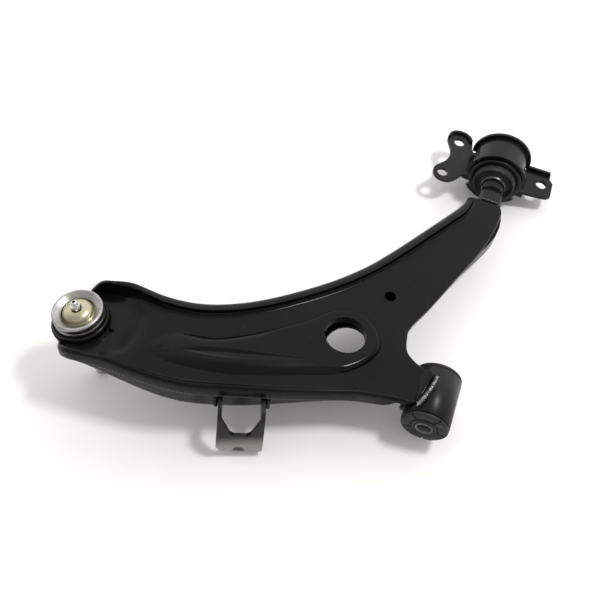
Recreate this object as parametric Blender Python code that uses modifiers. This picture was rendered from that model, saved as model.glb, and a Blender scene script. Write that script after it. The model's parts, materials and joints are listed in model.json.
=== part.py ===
"""Front lower control arm, pressed steel, lying with its ball-joint cap upward.

The arm is laid out in its own plate frame: Y runs along the pivot axis through both bushes,
X points from the ball joint to the bushes, Z is square to the face plate and the pivot axis
is at X = 0, Z = 0. The empty rest_pose then leans everything to the attitude in which the
arm lies on a flat floor. Lengths are in metres.
"""
import math

import bmesh
import bpy
from mathutils import Matrix, Vector

MM = 0.001
GAP = 0.3

# Attitude and place of the plate frame in the lying arm.
REST_LEAN = 7.0
REST_SHIFT = (116.71, -102.64, 29.23)

# Pressed shells.
SHEET = 3.0
PLATE_TOP = 15.0
BACK_INSET = SHEET + GAP
PIN_SEAM_Y = 196.0

# Front bush, on the pivot axis.
FRONT_Y = -6.4
TUBE_R = 18.3
TUBE_WALL = 3.0
TUBE_HALF = 20.2
SLEEVE_R = 7.0
SLEEVE_BORE = 5.0
SLEEVE_HALF = 24.6

# Rear bush and its clamp, on the pivot axis.
REAR_Y = 257.0
CLAMP_HALF = 15.8
CLAMP_R = 21.4
CLAMP_SHEET = 2.8
EAR_TOP = -6.0
RIM_REACH = 3.4
FOOT_REACH = 5.04

# Ball joint: the stud axis leans outboard on the cap side.
BALL_CENTRE = (-265.0, -47.0, 1.0)
BALL_LEAN = 10.0
BALL_R = 13.5
PAD_W = 4.0

# Stabiliser-link bracket on the near wall.
LINK_A = (-148.4, -62.8)
LINK_B = (-115.8, -51.2)
LINK_REACH = 27.0
LINK_BOTTOM = -43.2


def clear_file():
    for ob in list(bpy.data.objects):
        bpy.data.objects.remove(ob, do_unlink=True)


clear_file()
parts = bpy.data.collections.new("control_arm")
cutters = bpy.data.collections.new("cutters")
bpy.context.scene.collection.children.link(parts)
bpy.context.scene.collection.children.link(cutters)

rest_pose = bpy.data.objects.new("rest_pose", None)
parts.objects.link(rest_pose)
rest_pose.rotation_euler = (0.0, math.radians(REST_LEAN), 0.0)
rest_pose.location = [v * MM for v in REST_SHIFT]


def material(name, colour, metallic, roughness):
    mat = bpy.data.materials.new(name)
    mat.use_nodes = True
    shader = mat.node_tree.nodes["Principled BSDF"]
    shader.inputs["Base Color"].default_value = (*colour, 1.0)
    shader.inputs["Metallic"].default_value = metallic
    shader.inputs["Roughness"].default_value = roughness
    return mat


def place(name, mesh, look, at=(0, 0, 0), turn=None, cutter=False):
    """Link a mesh as a named object whose origin is at a point of the plate frame, in mm."""
    ob = bpy.data.objects.new(name, mesh)
    (cutters if cutter else parts).objects.link(ob)
    ob.parent = rest_pose
    frame = Matrix.Translation(Vector(at) * MM)
    if turn is not None:
        frame = frame @ turn
    ob.matrix_local = frame
    if cutter:
        ob.hide_render = True
        ob.display_type = "WIRE"
    else:
        mesh.materials.append(material(name, *look))
    return ob


def smooth(ob, angle=32.0):
    ob.data.shade_smooth()
    ob.data.set_sharp_from_angle(angle=math.radians(angle))
    return ob


def boolean(ob, other, operation="DIFFERENCE"):
    mod = ob.modifiers.new(other.name, "BOOLEAN")
    mod.operation = operation
    mod.solver = "EXACT"
    mod.object = other


def bevel(ob, width, segments=2, angle=40.0):
    mod = ob.modifiers.new("edge", "BEVEL")
    mod.width = width * MM
    mod.segments = segments
    mod.limit_method = "ANGLE"
    mod.angle_limit = math.radians(angle)


def new_mesh(name, verts, faces):
    mesh = bpy.data.meshes.new(name)
    mesh.from_pydata([Vector(v) * MM for v in verts], [], faces)
    return mesh


def outward(mesh):
    bm = bmesh.new()
    bm.from_mesh(mesh)
    bmesh.ops.recalc_face_normals(bm, faces=bm.faces)
    bm.to_mesh(mesh)
    bm.free()
    return mesh


def loft(name, rows):
    """Skin between closed sections that all have the same number of points."""
    count = len(rows[0])
    verts = [p for row in rows for p in row]
    faces = []
    for i in range(len(rows) - 1):
        a = i * count
        b = a + count
        for j in range(count):
            k = (j + 1) % count
            faces.append((a + j, a + k, b + k, b + j))
    faces.append(tuple(range(count))[::-1])
    faces.append(tuple(range(len(verts) - count, len(verts))))
    return outward(new_mesh(name, verts, faces))


def turned(name, profile, look, at=(0, 0, 0), turn=None, steps=32, cutter=False, ring=True):
    """Turn a profile of (radius, height) points in mm about the object's own Z axis."""
    mesh = bpy.data.meshes.new(name)
    area = sum(a[0] * b[1] - b[0] * a[1] for a, b in zip(profile, profile[1:] + profile[:1]))
    if area > 0.0:
        profile = profile[::-1]
    verts = [(r * MM, 0.0, z * MM) for r, z in profile]
    edges = [(i, i + 1) for i in range(len(profile) - 1)]
    if ring:
        edges.append((len(profile) - 1, 0))
    mesh.from_pydata(verts, edges, [])
    ob = place(name, mesh, look, at, turn, cutter)
    mod = ob.modifiers.new("turn", "SCREW")
    mod.axis = "Z"
    mod.steps = steps
    mod.render_steps = steps
    mod.use_merge_vertices = True
    mod.merge_threshold = 0.00001
    mod.use_smooth_shade = True
    return ob


def prism(name, outline, low, high, look, at=(0, 0, 0), turn=None, cutter=False):
    """Straight-sided solid from an outline of (x, y) points in mm."""
    n = len(outline)
    verts = [(x, y, low) for x, y in outline] + [(x, y, high) for x, y in outline]
    faces = [tuple(range(n))[::-1], tuple(range(n, 2 * n))]
    for i in range(n):
        j = (i + 1) % n
        faces.append((i, j, n + j, n + i))
    return place(name, outward(new_mesh(name, verts, faces)), look, at, turn, cutter)


def disc_outline(radius, steps, centre=(0.0, 0.0)):
    out = []
    for i in range(steps):
        a = 2.0 * math.pi * i / steps
        out.append((centre[0] + radius * math.cos(a), centre[1] + radius * math.sin(a)))
    return out


def rod_cutter(name, radius, low, high, at, turn=None, steps=40):
    return prism(name, disc_outline(radius, steps), low, high, None, at, turn, cutter=True)


def arc(cx, cy, radius, a0, a1, steps):
    out = []
    for i in range(steps + 1):
        a = math.radians(a0 + (a1 - a0) * i / steps)
        out.append((cx + radius * math.cos(a), cy + radius * math.sin(a)))
    return out


def bead(name, path, radius, look, ripple=0.12, pitch=3.0, sides=6):
    """Weld bead: round sections along a path in mm, with the ripples of the weld pool."""
    points = [Vector(p) for p in path]
    dense = []
    for a, b in zip(points, points[1:]):
        steps = max(1, round((b - a).length / (pitch / 2)))
        dense += [a.lerp(b, i / steps) for i in range(steps)]
    dense.append(points[-1])
    rows = []
    for i, p in enumerate(dense):
        along = (dense[min(i + 1, len(dense) - 1)] - dense[max(i - 1, 0)]).normalized()
        side = along.orthogonal().normalized() if not rows else None
        if side is None:
            side = (last - along * last.dot(along)).normalized()
        last = side
        up = along.cross(side)
        swell = radius * (1.0 + ripple * (1 if i % 2 else -1))
        if i in (0, len(dense) - 1):
            swell = radius * 0.5
        ring = []
        for k in range(sides):
            a = 2.0 * math.pi * k / sides
            ring.append(p + (side * math.cos(a) + up * math.sin(a)) * swell)
        rows.append(ring)
    return smooth(place(name, loft(name, rows), look), 60.0)


PAINT = ((0.012, 0.012, 0.013), 0.0, 0.28)
STEEL = ((0.55, 0.56, 0.57), 1.0, 0.32)
RUBBER = ((0.02, 0.02, 0.02), 0.0, 0.75)
PLASTIC = ((0.75, 0.74, 0.68), 0.0, 0.45)
CHROMATE = ((0.72, 0.62, 0.36), 1.0, 0.35)

ALONG_Y = Matrix.Rotation(math.radians(-90.0), 4, "X")
AGAINST_Y = Matrix.Rotation(math.radians(90.0), 4, "X")
BALL_TURN = Matrix.Rotation(math.radians(-BALL_LEAN), 4, "Y")


# ---------------------------------------------------------------- pressed shells
# Outline of the arm seen square to the plate, once round from the ball-joint end of the near
# edge. Each point: x, y, rise of the rim crest, drop from the crest to the lip, rim style
# (0 a tight folded rim, 1 the broad rolled rim of the far edge), back-shell step outward.
OUTLINE = [
    (-261, -79, 7, 11, 0, 0), (-250, -78.5, 6.5, 11, 0, 0), (-236, -78, 5.5, 11, 0, 0),
    (-205, -77, 2.5, 10, 0, 0), (-175, -74, 1.5, 10, 0, 0), (-149, -66.5, 1, 10, 0, 0),
    (-110, -52.5, 0.5, 10, 0, 0), (-82, -41.5, 0.2, 10, 0, 0), (-57, -31.5, 0, 9.5, 0, 0),
    (-50, -29.3, 0, 4.2, 0, 0), (-37, -26.3, 0, 4.2, 0, 0), (-25, -24.2, 0, 4.2, 0, 0),
    (-17, -23.4, 0, 4.2, 0, 0), (-11.9, -20.5, 0, 4.2, 0, 0), (-9.1, -13, 0, 4.2, 0, 0),
    (-6.7, -4, 0, 4.2, 0, 0), (-6.1, 4, 0, 4.2, 0, 0), (-11, 9.2, 0, 4.2, 0, 0),
    (-20, 12.4, 0, 4.2, 0, 0), (-28.6, 19, 0, 5, 0, 0), (-32, 30, 0, 5, 0, 0), (-32, 42, 0, 5, 0, 0),
    (-22, 67, 0, 5, 0, 0), (-9.5, 102, 0, 5, 0, 0), (4, 140, 0, 5, 0, 3),
    (10, 165, 0, 5, 0, 6), (12, 182, 0, 5, 0, 5), (11.8, 190, 0, 4.2, 0, 3),
    (7.5, 195.6, 0, 4.2, 0, 0), (-4, PIN_SEAM_Y, 0, 4.2, 0, 0),
    (-14, 195.6, 0.3, 5, 0, 0), (-19.6, 192, 1.5, 7, 0.1, 0), (-21, 185, 3, 10, 0.5, 0),
    (-26.6, 173.4, 4, 12, 1, 0), (-35, 158.7, 4, 12, 1, 0), (-46.9, 138, 4, 12, 1, 0),
    (-64.8, 107.3, 4, 12, 1, 0), (-82, 81.1, 4, 12, 1, 0), (-104.7, 54.8, 4, 12, 1, 0),
    (-134.1, 27.8, 4.2, 12, 1, 0), (-158.6, 9.7, 4.8, 12, 1, 0), (-185.1, -3, 5.2, 12, 1, 0),
    (-211.6, -9.2, 7, 13, 0.8, 0), (-239.8, -10.6, 10, 16, 0.3, 0), (-253.5, -12.6, 12, 17, 0, 0),
    (-263, -15.2, 12.5, 17, 0, 0), (-269.5, -19.5, 7, 14, 0, 0), (-273.5, -27, 0, 4.2, 0, 0),
    (-275, -47, 0, 4.2, 0, 0), (-273.5, -68, 0, 4.2, 0, 0), (-269, -76, 4, 9, 0, 0)]
PER_SPAN = 2
# Lines across the arm where the plate or the floor of the back shell changes level.
LEVEL_CUTS = [-258, -238, -231, -225, -219, -190, -160, -130, -100, -60, -22.5, -18.5, -14.5]


def ramp(x, x0, x1):
    f = min(1.0, max(0.0, (x - x0) / (x1 - x0)))
    return f * f * (3.0 - 2.0 * f)


def pad_height(x):
    lean = math.radians(BALL_LEAN)
    return BALL_CENTRE[2] + PAD_W / math.cos(lean) + (x - BALL_CENTRE[0]) * math.tan(lean)


def plate_height(x, y):
    """Top of the face plate, with the leaning ball-joint pad and the tongue on the tube."""
    high = PLATE_TOP - 1.5 * ramp(-x, 130.0, 215.0)
    pad = pad_height(x)
    level = pad + (high - pad) * ramp(x, -238.0, -219.0)
    if x > -TUBE_R and abs(y) < 40.0:
        over_tube = math.sqrt((TUBE_R + GAP) ** 2 - min(x, 0.0) ** 2) + SHEET + 0.2
        level = max(level, over_tube)
    return level


def floor_height(x, y):
    """Outer face of the back shell's floor, deepest where the arm carries most bending."""
    deep = -8.5 - 13.5 * ramp(x, -272.0, -180.0) + 13.0 * ramp(x, -150.0, -62.0)
    return deep - 3.0 * ramp(y, 120.0, 180.0)


def closed_curve(points, per):
    """Smooth closed curve through points of any length."""
    out = []
    n = len(points)
    for i in range(n):
        p0, p1, p2, p3 = [points[(i + k) % n] for k in (-1, 0, 1, 2)]
        for s in range(per):
            f = s / per
            out.append(tuple(
                0.5 * (2 * b + (c - a) * f + (2 * a - 5 * b + 4 * c - d) * f * f
                       + (3 * b - a - 3 * c + d) * f ** 3)
                for a, b, c, d in zip(p0, p1, p2, p3)))
    return out


def inward_normals(points):
    out = []
    n = len(points)
    for i in range(n):
        a, b = points[i - 1], points[(i + 1) % n]
        t = Vector((b[0] - a[0], b[1] - a[1])).normalized()
        out.append(Vector((-t.y, t.x)))
    return out


def corner_room(points):
    """How far each edge point can be drawn inward before the outline would fold on itself."""
    out = []
    n = len(points)
    for i in range(n):
        a, b, c = [Vector(points[(i + k) % n][:2]) for k in (-1, 0, 1)]
        cross = (b - a).cross(c - b)
        if cross <= 0.01:
            out.append(60.0)
            continue
        out.append((b - a).length * (c - b).length * (c - a).length / (2.0 * cross))
    tight = [min(out[(i + k) % n] for k in range(-2, 3)) for i in range(n)]
    return [sum(tight[(i + k) % n] for k in range(-2, 3)) / 5.0 for i in range(n)]


def prepared(outline):
    edge = closed_curve(outline, PER_SPAN)
    return list(zip(edge, inward_normals(edge), corner_room(edge)))


EDGE = prepared(OUTLINE)
# The back shell stops short of the tube where the face plate carries its tongue.
BACK_NOTCH = [(-44, -27.8, 0, 0, 0, 0), (-31, -24.6, 0, 0, 0, 0), (-21.6, -18, 0, 0, 0, 0),
              (-17.4, -8, 0, 0, 0, 0), (-17.4, 2, 0, 0, 0, 0), (-20.4, 10.6, 0, 0, 0, 0),
              (-28.4, 19.6, 0, 0, 0, 0)]
BACK_EDGE = prepared(OUTLINE[:9] + BACK_NOTCH + OUTLINE[20:])


def pressing(name, rings, height, cut_shift=0.0):
    """Closed sheet from nested rings: the first and last rings are filled, then levelled.

    A ring is a list of (x, y, z, on) points. Points with on = 1 are measured from the level
    surface, the others are fixed heights.
    """
    bm = bmesh.new()
    flag = bm.verts.layers.float.new("on")
    loops = []
    for ring in rings:
        loop = []
        for x, y, z, on in ring:
            v = bm.verts.new((x, y, z))
            v[flag] = on
            loop.append(v)
        loops.append(loop)
    n = len(loops[0])
    caps = [bm.faces.new(loops[0]), bm.faces.new(loops[-1][::-1])]
    for a, b in zip(loops, loops[1:]):
        for i in range(n):
            j = (i + 1) % n
            bm.faces.new((a[i], b[i], b[j], a[j]))
    bm.normal_update()
    bmesh.ops.triangulate(bm, faces=caps)
    for x in LEVEL_CUTS:
        geom = bm.verts[:] + bm.edges[:] + bm.faces[:]
        at = (x + cut_shift, 0, 0)
        bmesh.ops.bisect_plane(bm, geom=geom, dist=0.02, plane_co=at, plane_no=(1, 0, 0))
    for v in bm.verts:
        if v[flag] > 0.5:
            v.co.z += height(v.co.x, v.co.y)
    bmesh.ops.recalc_face_normals(bm, faces=bm.faces)
    if bm.calc_volume(signed=True) < 0.0:
        bmesh.ops.reverse_faces(bm, faces=bm.faces)
    bmesh.ops.scale(bm, vec=(MM, MM, MM), verts=bm.verts)
    mesh = bpy.data.meshes.new(name)
    bm.to_mesh(mesh)
    bm.free()
    return mesh


def face_rings():
    tight = [(0.0, None), (0.0, -2.2), (0.8, -0.6), (2.2, 0.0), (3.4, 0.0), (4.4, 0.6), (5.5, 0.0)]
    broad = [(0.0, None), (0.0, -4.6), (1.9, -2.0), (5.2, -0.5), (8.4, 0.0), (10.4, 0.3), (13.0, 0.0)]
    rings = []
    for k in range(7):
        ring = []
        for (x, y, rise, drop, style, _), inward, room in EDGE:
            style = min(1.0, max(0.0, style))
            rise = max(0.0, rise)
            squeeze = min(1.0, 0.6 * room / (5.5 + 9.5 * style))
            d = (tight[k][0] + (broad[k][0] - tight[k][0]) * style) * squeeze
            if k == 0:
                z = min(rise - drop, -SHEET - 1.0)
            elif k < 5:
                z = rise + tight[k][1] + (broad[k][1] - tight[k][1]) * style
            else:
                z = rise * (tight[k][1] + (broad[k][1] - tight[k][1]) * style)
            ring.append((x + inward.x * d, y + inward.y * d, z, 1))
        rings.append(ring)
    rings = rings[::-1]
    for k in range(3):
        ring = []
        for (x, y, rise, drop, style, _), inward, room in EDGE:
            style = min(1.0, max(0.0, style))
            rise = max(0.0, rise)
            squeeze = min(1.0, 0.6 * room / (5.5 + 9.5 * style))
            low = min(rise - drop, -SHEET - 1.0)
            narrow = ((3.0, low), (3.1, -SHEET - 0.4), (4.8, -SHEET))[k]
            wide = ((3.0, low), (3.0, rise - 5.6), (12.0, -SHEET))[k]
            d = (narrow[0] + (wide[0] - narrow[0]) * style) * squeeze
            z = narrow[1] + (wide[1] - narrow[1]) * style
            ring.append((x + inward.x * d, y + inward.y * d, z, 1))
        rings.append(ring)
    return rings


face_shell = place("face_shell", pressing("face_shell", face_rings(), plate_height), PAINT)

# Rounded nose of the ball-joint pad.
nose = prism("pad_nose", disc_outline(22.8, 32), PAD_W - SHEET + 0.04, PAD_W - 0.04, None,
             BALL_CENTRE, BALL_TURN, cutter=True)
boolean(face_shell, nose, "UNION")

# Raised drop-shaped bead that runs out into a round land about the lightening hole.
BEAD = [(-210, -51), (-205, -42), (-193, -33), (-165, -25.5), (-135, -6.5), (-112, 10.5),
        (-99, 25), (-87, 34), (-72, 36), (-58, 29), (-49, 16), (-51, 2), (-61, -12),
        (-75, -23), (-92, -31), (-119, -43), (-148, -53.5), (-180, -59), (-202, -58.5)]
BEAD_EDGE = prepared(BEAD)
BEAD_SHAPE = [(0.4, -1.5), (0.4, 0.05), (1.4, 1.3), (3.2, 3.2), (4.6, 4.0), (6.0, 4.3)]


def bead_rings():
    rings = []
    for d, z in BEAD_SHAPE[::-1]:
        ring = []
        for (x, y), inward, room in BEAD_EDGE:
            q = d * min(1.0, 0.6 * room / 6.0)
            px, py = x - inward.x * q, y - inward.y * q
            fade = 0.12 + 0.88 * ramp(px, -210.0, -160.0)
            ring.append((px, py, z * fade if z > 0.0 else z, 1))
        rings.append(ring)
    return rings


bead_mesh = pressing("bead_top", bead_rings(), plate_height, cut_shift=6.3)
bead_top = place("bead_top", bead_mesh, None, cutter=True)
boolean(face_shell, bead_top, "UNION")

boolean(face_shell, rod_cutter("cut_big", 15.7, 5.0, 30.0, (-77.0, 11.0, 0.0), steps=36))
boolean(face_shell, rod_cutter("cut_datum", 4.6, 0.0, 30.0, (-55.0, 62.0, 0.0), steps=24))
boolean(face_shell, rod_cutter("cut_pad_hole", 2.0, -6.0, 16.0, (-240.2, -49.0, 6.0), steps=16))
boolean(face_shell, rod_cutter("cut_pad", 19.3, -6.0, 12.0, BALL_CENTRE, BALL_TURN, steps=36))
boolean(face_shell, rod_cutter("cut_collar", 22.0, PAD_W + 0.02, 40.0, BALL_CENTRE, BALL_TURN, steps=40))
boolean(face_shell, rod_cutter("cut_tube", TUBE_R + GAP, -60.0, 60.0, (0, 0, 0), ALONG_Y, steps=36))
pin_box = [(-10.8, 186.0), (10.8, 186.0), (10.8, 240.0), (-10.8, 240.0)]
boolean(face_shell, prism("pin_room_face", pin_box, -8.0, 12.05, None, cutter=True))
smooth(face_shell, 38.0)


def back_edge(inset):
    """The outline drawn in by a distance, less where the outline turns a tight corner."""
    out = []
    for (x, y, _, _, _, step), inward, room in BACK_EDGE:
        squeeze = min(1.0, max(0.25, (0.7 * room - BACK_INSET) / 7.6))
        d = BACK_INSET + (inset - BACK_INSET) * squeeze - step
        out.append((x + inward.x * d, y + inward.y * d))
    return out


def back_rings():
    outer = [(0.0, None), (0.0, 7.0), (1.2, 3.0), (3.6, 0.7), (7.0, 0.0)]
    inner = [(SHEET, None), (SHEET, 7.4), (7.6, SHEET)]
    rings = []
    for d, z in outer[::-1] + inner:
        ring = []
        for x, y in back_edge(BACK_INSET + d):
            if z is not None:
                ring.append((x, y, z, 1))
                continue
            under = plate_height(min(x, -24.0) if y < 40.0 else x, y) - SHEET - 0.5
            ring.append((x, y, min(under, 9.5), 0))
        rings.append(ring)
    return rings


back_shell = place("back_shell", pressing("back_shell", back_rings(), floor_height), PAINT)
boolean(back_shell, rod_cutter("cut_back_big", 16.5, -30.0, 9.0, (-74.5, 21.0, 0.0), steps=32))
boolean(back_shell, rod_cutter("cut_back_drain", 6.0, -30.0, 6.0, (-185.0, -40.0, 0.0), steps=24))
boolean(back_shell, rod_cutter("cut_back_ball", 25.0, -40.0, 0.6, BALL_CENTRE, BALL_TURN, steps=32))
boolean(back_shell, rod_cutter("cut_back_tube", TUBE_R + GAP, -60.0, 60.0, (0, 0, 0), ALONG_Y, steps=32))
boolean(back_shell, prism("pin_room_back", pin_box, -8.9, 14.0, None, cutter=True))
smooth(back_shell, 38.0)


# ---------------------------------------------------------------- seam welds
def lip_path(first, last):
    """Points just under the lip of the face shell, between two places on the outline."""
    path = []
    for i in range(first * PER_SPAN, last * PER_SPAN + 1):
        (x, y, rise, drop, _, _), inward, _ = EDGE[i]
        px, py = x + inward.x * 1.4, y + inward.y * 1.4
        low = plate_height(px, py) + min(max(0.0, rise) - drop, -SHEET - 1.0)
        path.append((px, py, low - 1.9))
    return path


bead("near_seam_weld", lip_path(2, 8), 1.35, PAINT, pitch=14.0)
bead("far_seam_weld", lip_path(33, 43), 1.35, PAINT, pitch=16.0)


# ---------------------------------------------------------------- front bush
FRONT_AT = (0.0, FRONT_Y, 0.0)
turned("bush_tube", [(TUBE_R, TUBE_HALF - 0.5), (TUBE_R, 0.5 - TUBE_HALF), (TUBE_R - 0.5, -TUBE_HALF),
                     (TUBE_R - TUBE_WALL, -TUBE_HALF), (TUBE_R - TUBE_WALL, TUBE_HALF),
                     (TUBE_R - 0.5, TUBE_HALF)], PAINT, FRONT_AT, ALONG_Y)

# One end of the rubber: a bulged outer face, a groove and a collar about the sleeve.
rubber_out = TUBE_R - TUBE_WALL - GAP
rubber_in = SLEEVE_R + GAP
rubber_end = [(rubber_out, 20.5), (17.3, 20.5), (17.9, 21.2), (17.9, 22.5), (17.2, 23.2),
              (11.0, 23.2), (10.2, 21.6), (9.7, 21.6), (9.5, 23.6), (7.9, 24.0), (rubber_in, 23.4)]
front_rubber = turned("front_rubber", rubber_end + [(r, -z) for r, z in reversed(rubber_end)],
                      RUBBER, FRONT_AT, ALONG_Y)
for i in range(5):
    angle = math.radians(28.0 + 72.0 * i)
    slot = prism("cut_slot_%d" % i, [(-0.6, -4.2), (0.6, -4.2), (0.6, 4.2), (-0.6, 4.2)], 21.8, 25.0, None,
                 (14.8 * math.sin(angle), FRONT_Y, 14.8 * math.cos(angle)),
                 Matrix.Rotation(angle, 4, "Y") @ AGAINST_Y, cutter=True)
    boolean(front_rubber, slot)

turned("front_inner_sleeve", [(SLEEVE_R - 0.6, SLEEVE_HALF), (SLEEVE_R, SLEEVE_HALF - 0.6),
                              (SLEEVE_R, 0.6 - SLEEVE_HALF), (SLEEVE_R - 0.6, -SLEEVE_HALF),
                              (SLEEVE_BORE + 0.6, -SLEEVE_HALF), (SLEEVE_BORE, 0.6 - SLEEVE_HALF),
                              (SLEEVE_BORE, SLEEVE_HALF - 0.6), (SLEEVE_BORE + 0.6, SLEEVE_HALF)],
       STEEL, FRONT_AT, ALONG_Y)

# Weld run between the tongue of the face plate and the tube.
tube_weld_path = []
for i in range(16):
    f = i / 15.0
    x = -3.3 - 2.6 * f - 5.0 * f * f
    tube_weld_path.append((x, 3.0 - 27.0 * f, math.sqrt((TUBE_R + 2.5) ** 2 - x * x)))
bead("tube_weld", tube_weld_path, 1.9, PAINT, 0.14, 3.4)
bead("tube_weld_lower", [(-18.6, -16.0 + 2.4 * i, -10.0) for i in range(11)], 1.9, PAINT, 0.14, 3.4)


# ---------------------------------------------------------------- rear pivot pin
def pin_section(y, half_w, low, high, roundness):
    """Rounded rectangle across the pin, from a square forging to a round shoulder."""
    out = []
    cz = (low + high) / 2.0
    half_h = (high - low) / 2.0
    for k in range(24):
        a = 2.0 * math.pi * (k + 0.5) / 24
        c, s = math.cos(a), math.sin(a)
        box = max(abs(c), abs(s))
        x = half_w * (c / box * (1 - roundness) + c * roundness)
        z = half_h * (s / box * (1 - roundness) + s * roundness)
        out.append((x, y, cz + z))
    return out


pin_rows = [pin_section(y, w, lo, hi, r) for y, w, lo, hi, r in (
    (170.0, 6.4, -5.8, 9.5, 0.12), (172.0, 7.4, -7.6, 11.2, 0.10), (186.0, 8.2, -7.8, 11.5, 0.10),
    (196.0, 9.8, -8.2, 11.7, 0.10), (200.0, 10.4, -10.2, 12.0, 0.10), (213.0, 10.2, -10.6, 11.6, 0.12),
    (216.0, 9.8, -10.2, 11.0, 0.3), (219.0, 9.4, -9.7, 10.2, 0.8), (222.0, 9.8, -9.8, 9.8, 1.0),
    (224.5, 10.6, -10.6, 10.6, 1.0), (228.0, 11.0, -11.0, 11.0, 1.0), (229.8, 10.6, -10.6, 10.6, 1.0),
    (229.8, 8.0, -8.0, 8.0, 1.0), (284.2, 8.0, -8.0, 8.0, 1.0), (285.0, 7.2, -7.2, 7.2, 1.0))]
smooth(place("pivot_pin", loft("pivot_pin", pin_rows), PAINT), 30.0)
bead("pin_weld", [(-8.6 + 1.72 * i, PIN_SEAM_Y + 1.9, 13.7) for i in range(11)], 1.35, PAINT, 0.15, 3.4)


# ---------------------------------------------------------------- rear bush and clamp
REAR_AT = (0.0, REAR_Y, 0.0)
turned("rear_inner_sleeve", [(10.8, 26.8), (11.2, 26.4), (11.2, -26.4), (10.8, -26.8), (8.9, -26.8),
                             (8.3, -26.2), (8.3, 26.2), (8.9, 26.8)], STEEL, REAR_AT, ALONG_Y)
turned("rear_rubber", [
    (18.6, 24.5), (19.2, 23.0), (19.2, -22.6), (18.8, -24.6), (17.8, -25.2), (17.0, -24.4),
    (16.4, -20.8), (13.2, -20.0), (12.6, -24.0), (11.5, -24.4), (11.5, 24.0), (12.4, 24.4),
    (13.4, 20.2), (16.4, 20.6)], RUBBER, REAR_AT, ALONG_Y)
turned("rear_outer_sleeve", [
    (20.7, 19.0), (21.1, 18.5), (21.1, -16.4), (23.4, -16.7), (24.2, -17.4), (24.2, -18.6), (23.4, -19.2),
    (19.9, -19.2), (19.5, -18.8), (19.5, 19.0)], PAINT, REAR_AT, ALONG_Y)

arch_in = CLAMP_R
arch_out = CLAMP_R + CLAMP_SHEET


def clamp_profile(join_z, gap_z):
    """Section of one clamp half across the pivot axis, as (x, z) points."""
    outer = arc(0, 0, arch_out, math.degrees(math.asin(join_z / arch_out)), 90, 12)
    inner = arc(0, 0, arch_in, math.degrees(math.asin(gap_z / arch_in)), 90, 12)
    right = [(29.0, gap_z)] + [(29.0, join_z)] + outer
    left = [(-x, z) for x, z in reversed(right)]
    under = [(-x, z) for x, z in inner]
    over = [(x, z) for x, z in reversed(inner)]
    return right[:-1] + left + under[:-1] + over


def to_y(outline_x_z):
    """Turn an (x, z) outline so that a prism's thickness runs along the pivot axis."""
    return [(x, -z) for x, z in outline_x_z]


upper_profile = clamp_profile(EAR_TOP, EAR_TOP - CLAMP_SHEET)
rear_strap_upper = prism("rear_strap_upper", to_y(upper_profile), -CLAMP_HALF, CLAMP_HALF, PAINT,
                         REAR_AT, ALONG_Y)
RIM_EDGE = CLAMP_HALF + 0.1


def add_rims(strap, tag, a0, a1, reach):
    """Flared rims along both edges of a clamp half."""
    for side, y0 in (("front", -RIM_EDGE), ("back", RIM_EDGE - 2.6)):
        rim_out = arc(0, 0, arch_out + reach, a0, a1, 19)
        rim_in = arc(0, 0, arch_out - 1.4, a1 + 2.0, a0 - 2.0, 19)
        rim = prism("rim_%s_%s" % (side, tag), to_y(rim_out + rim_in), y0, y0 + 2.6, None, REAR_AT,
                    ALONG_Y, cutter=True)
        boolean(strap, rim, "UNION")


add_rims(rear_strap_upper, "upper", -4.0, 184.0, RIM_REACH)

# Ears: a two-hole lobe on the ball-joint side and a single-hole ear opposite.
EAR_LEFT = [(-26, -15), (-29, -16.5), (-31.5, -20.5), (-36, -27.5), (-42, -31.5), (-50, -31),
            (-55.5, -26), (-56.5, -19.5), (-53, -13), (-48.5, -7), (-46.2, 0), (-46.6, 8),
            (-49.5, 15.5), (-52.8, 22), (-53.2, 29), (-49.5, 34.5), (-43, 36.5), (-36, 35.5),
            (-30.5, 30.5), (-28.5, 24), (-27.5, 18), (-26, 15)]
EAR_RIGHT = [(26, 19.5), (50, 19.5), (50, 13), (53.6, 8), (53.6, -9), (50.5, -12), (38, -14), (26, -15)]
HOLES = [(-41.3, 23.0), (-47.5, -22.0), (43.2, 2.8)]

ears = (("left", closed_curve(EAR_LEFT, 2)), ("right", EAR_RIGHT))
for side, outline in ears:
    ear = prism("ear_" + side, outline, EAR_TOP - CLAMP_SHEET + 0.05, EAR_TOP - 0.05, None, REAR_AT,
                None, cutter=True)
    boolean(rear_strap_upper, ear, "UNION")
for i, (x, y) in enumerate(HOLES):
    hole = rod_cutter("ear_hole_%d" % i, 4.9, EAR_TOP - 9.0, EAR_TOP + 6.0, (x, REAR_Y + y, 0.0), steps=24)
    boolean(rear_strap_upper, hole)
lip = prism("ear_lip", [(27.0, 16.7), (49.0, 16.7), (49.0, 19.3), (27.0, 19.3)], EAR_TOP - 0.7,
            EAR_TOP + 3.2, None, REAR_AT, None, cutter=True)
boolean(rear_strap_upper, lip, "UNION")
lip_rows = []
for x, y in closed_curve(EAR_LEFT, 2)[27:38]:
    inward = (Vector((-41.5, 25.0)) - Vector((x, y))).normalized()
    x0, y0 = x + inward.x * 0.3, y + inward.y * 0.3
    x1, y1 = x + inward.x * 2.6, y + inward.y * 2.6
    lip_rows.append([(x0, y0, EAR_TOP - 0.7), (x0, y0, EAR_TOP + 2.6), (x1, y1, EAR_TOP + 2.6),
                     (x1, y1, EAR_TOP - 0.7)])
left_rim = place("left_rim", loft("left_rim", lip_rows), None, REAR_AT, None, cutter=True)
boolean(rear_strap_upper, left_rim, "UNION")
smooth(rear_strap_upper, 35.0)

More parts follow.
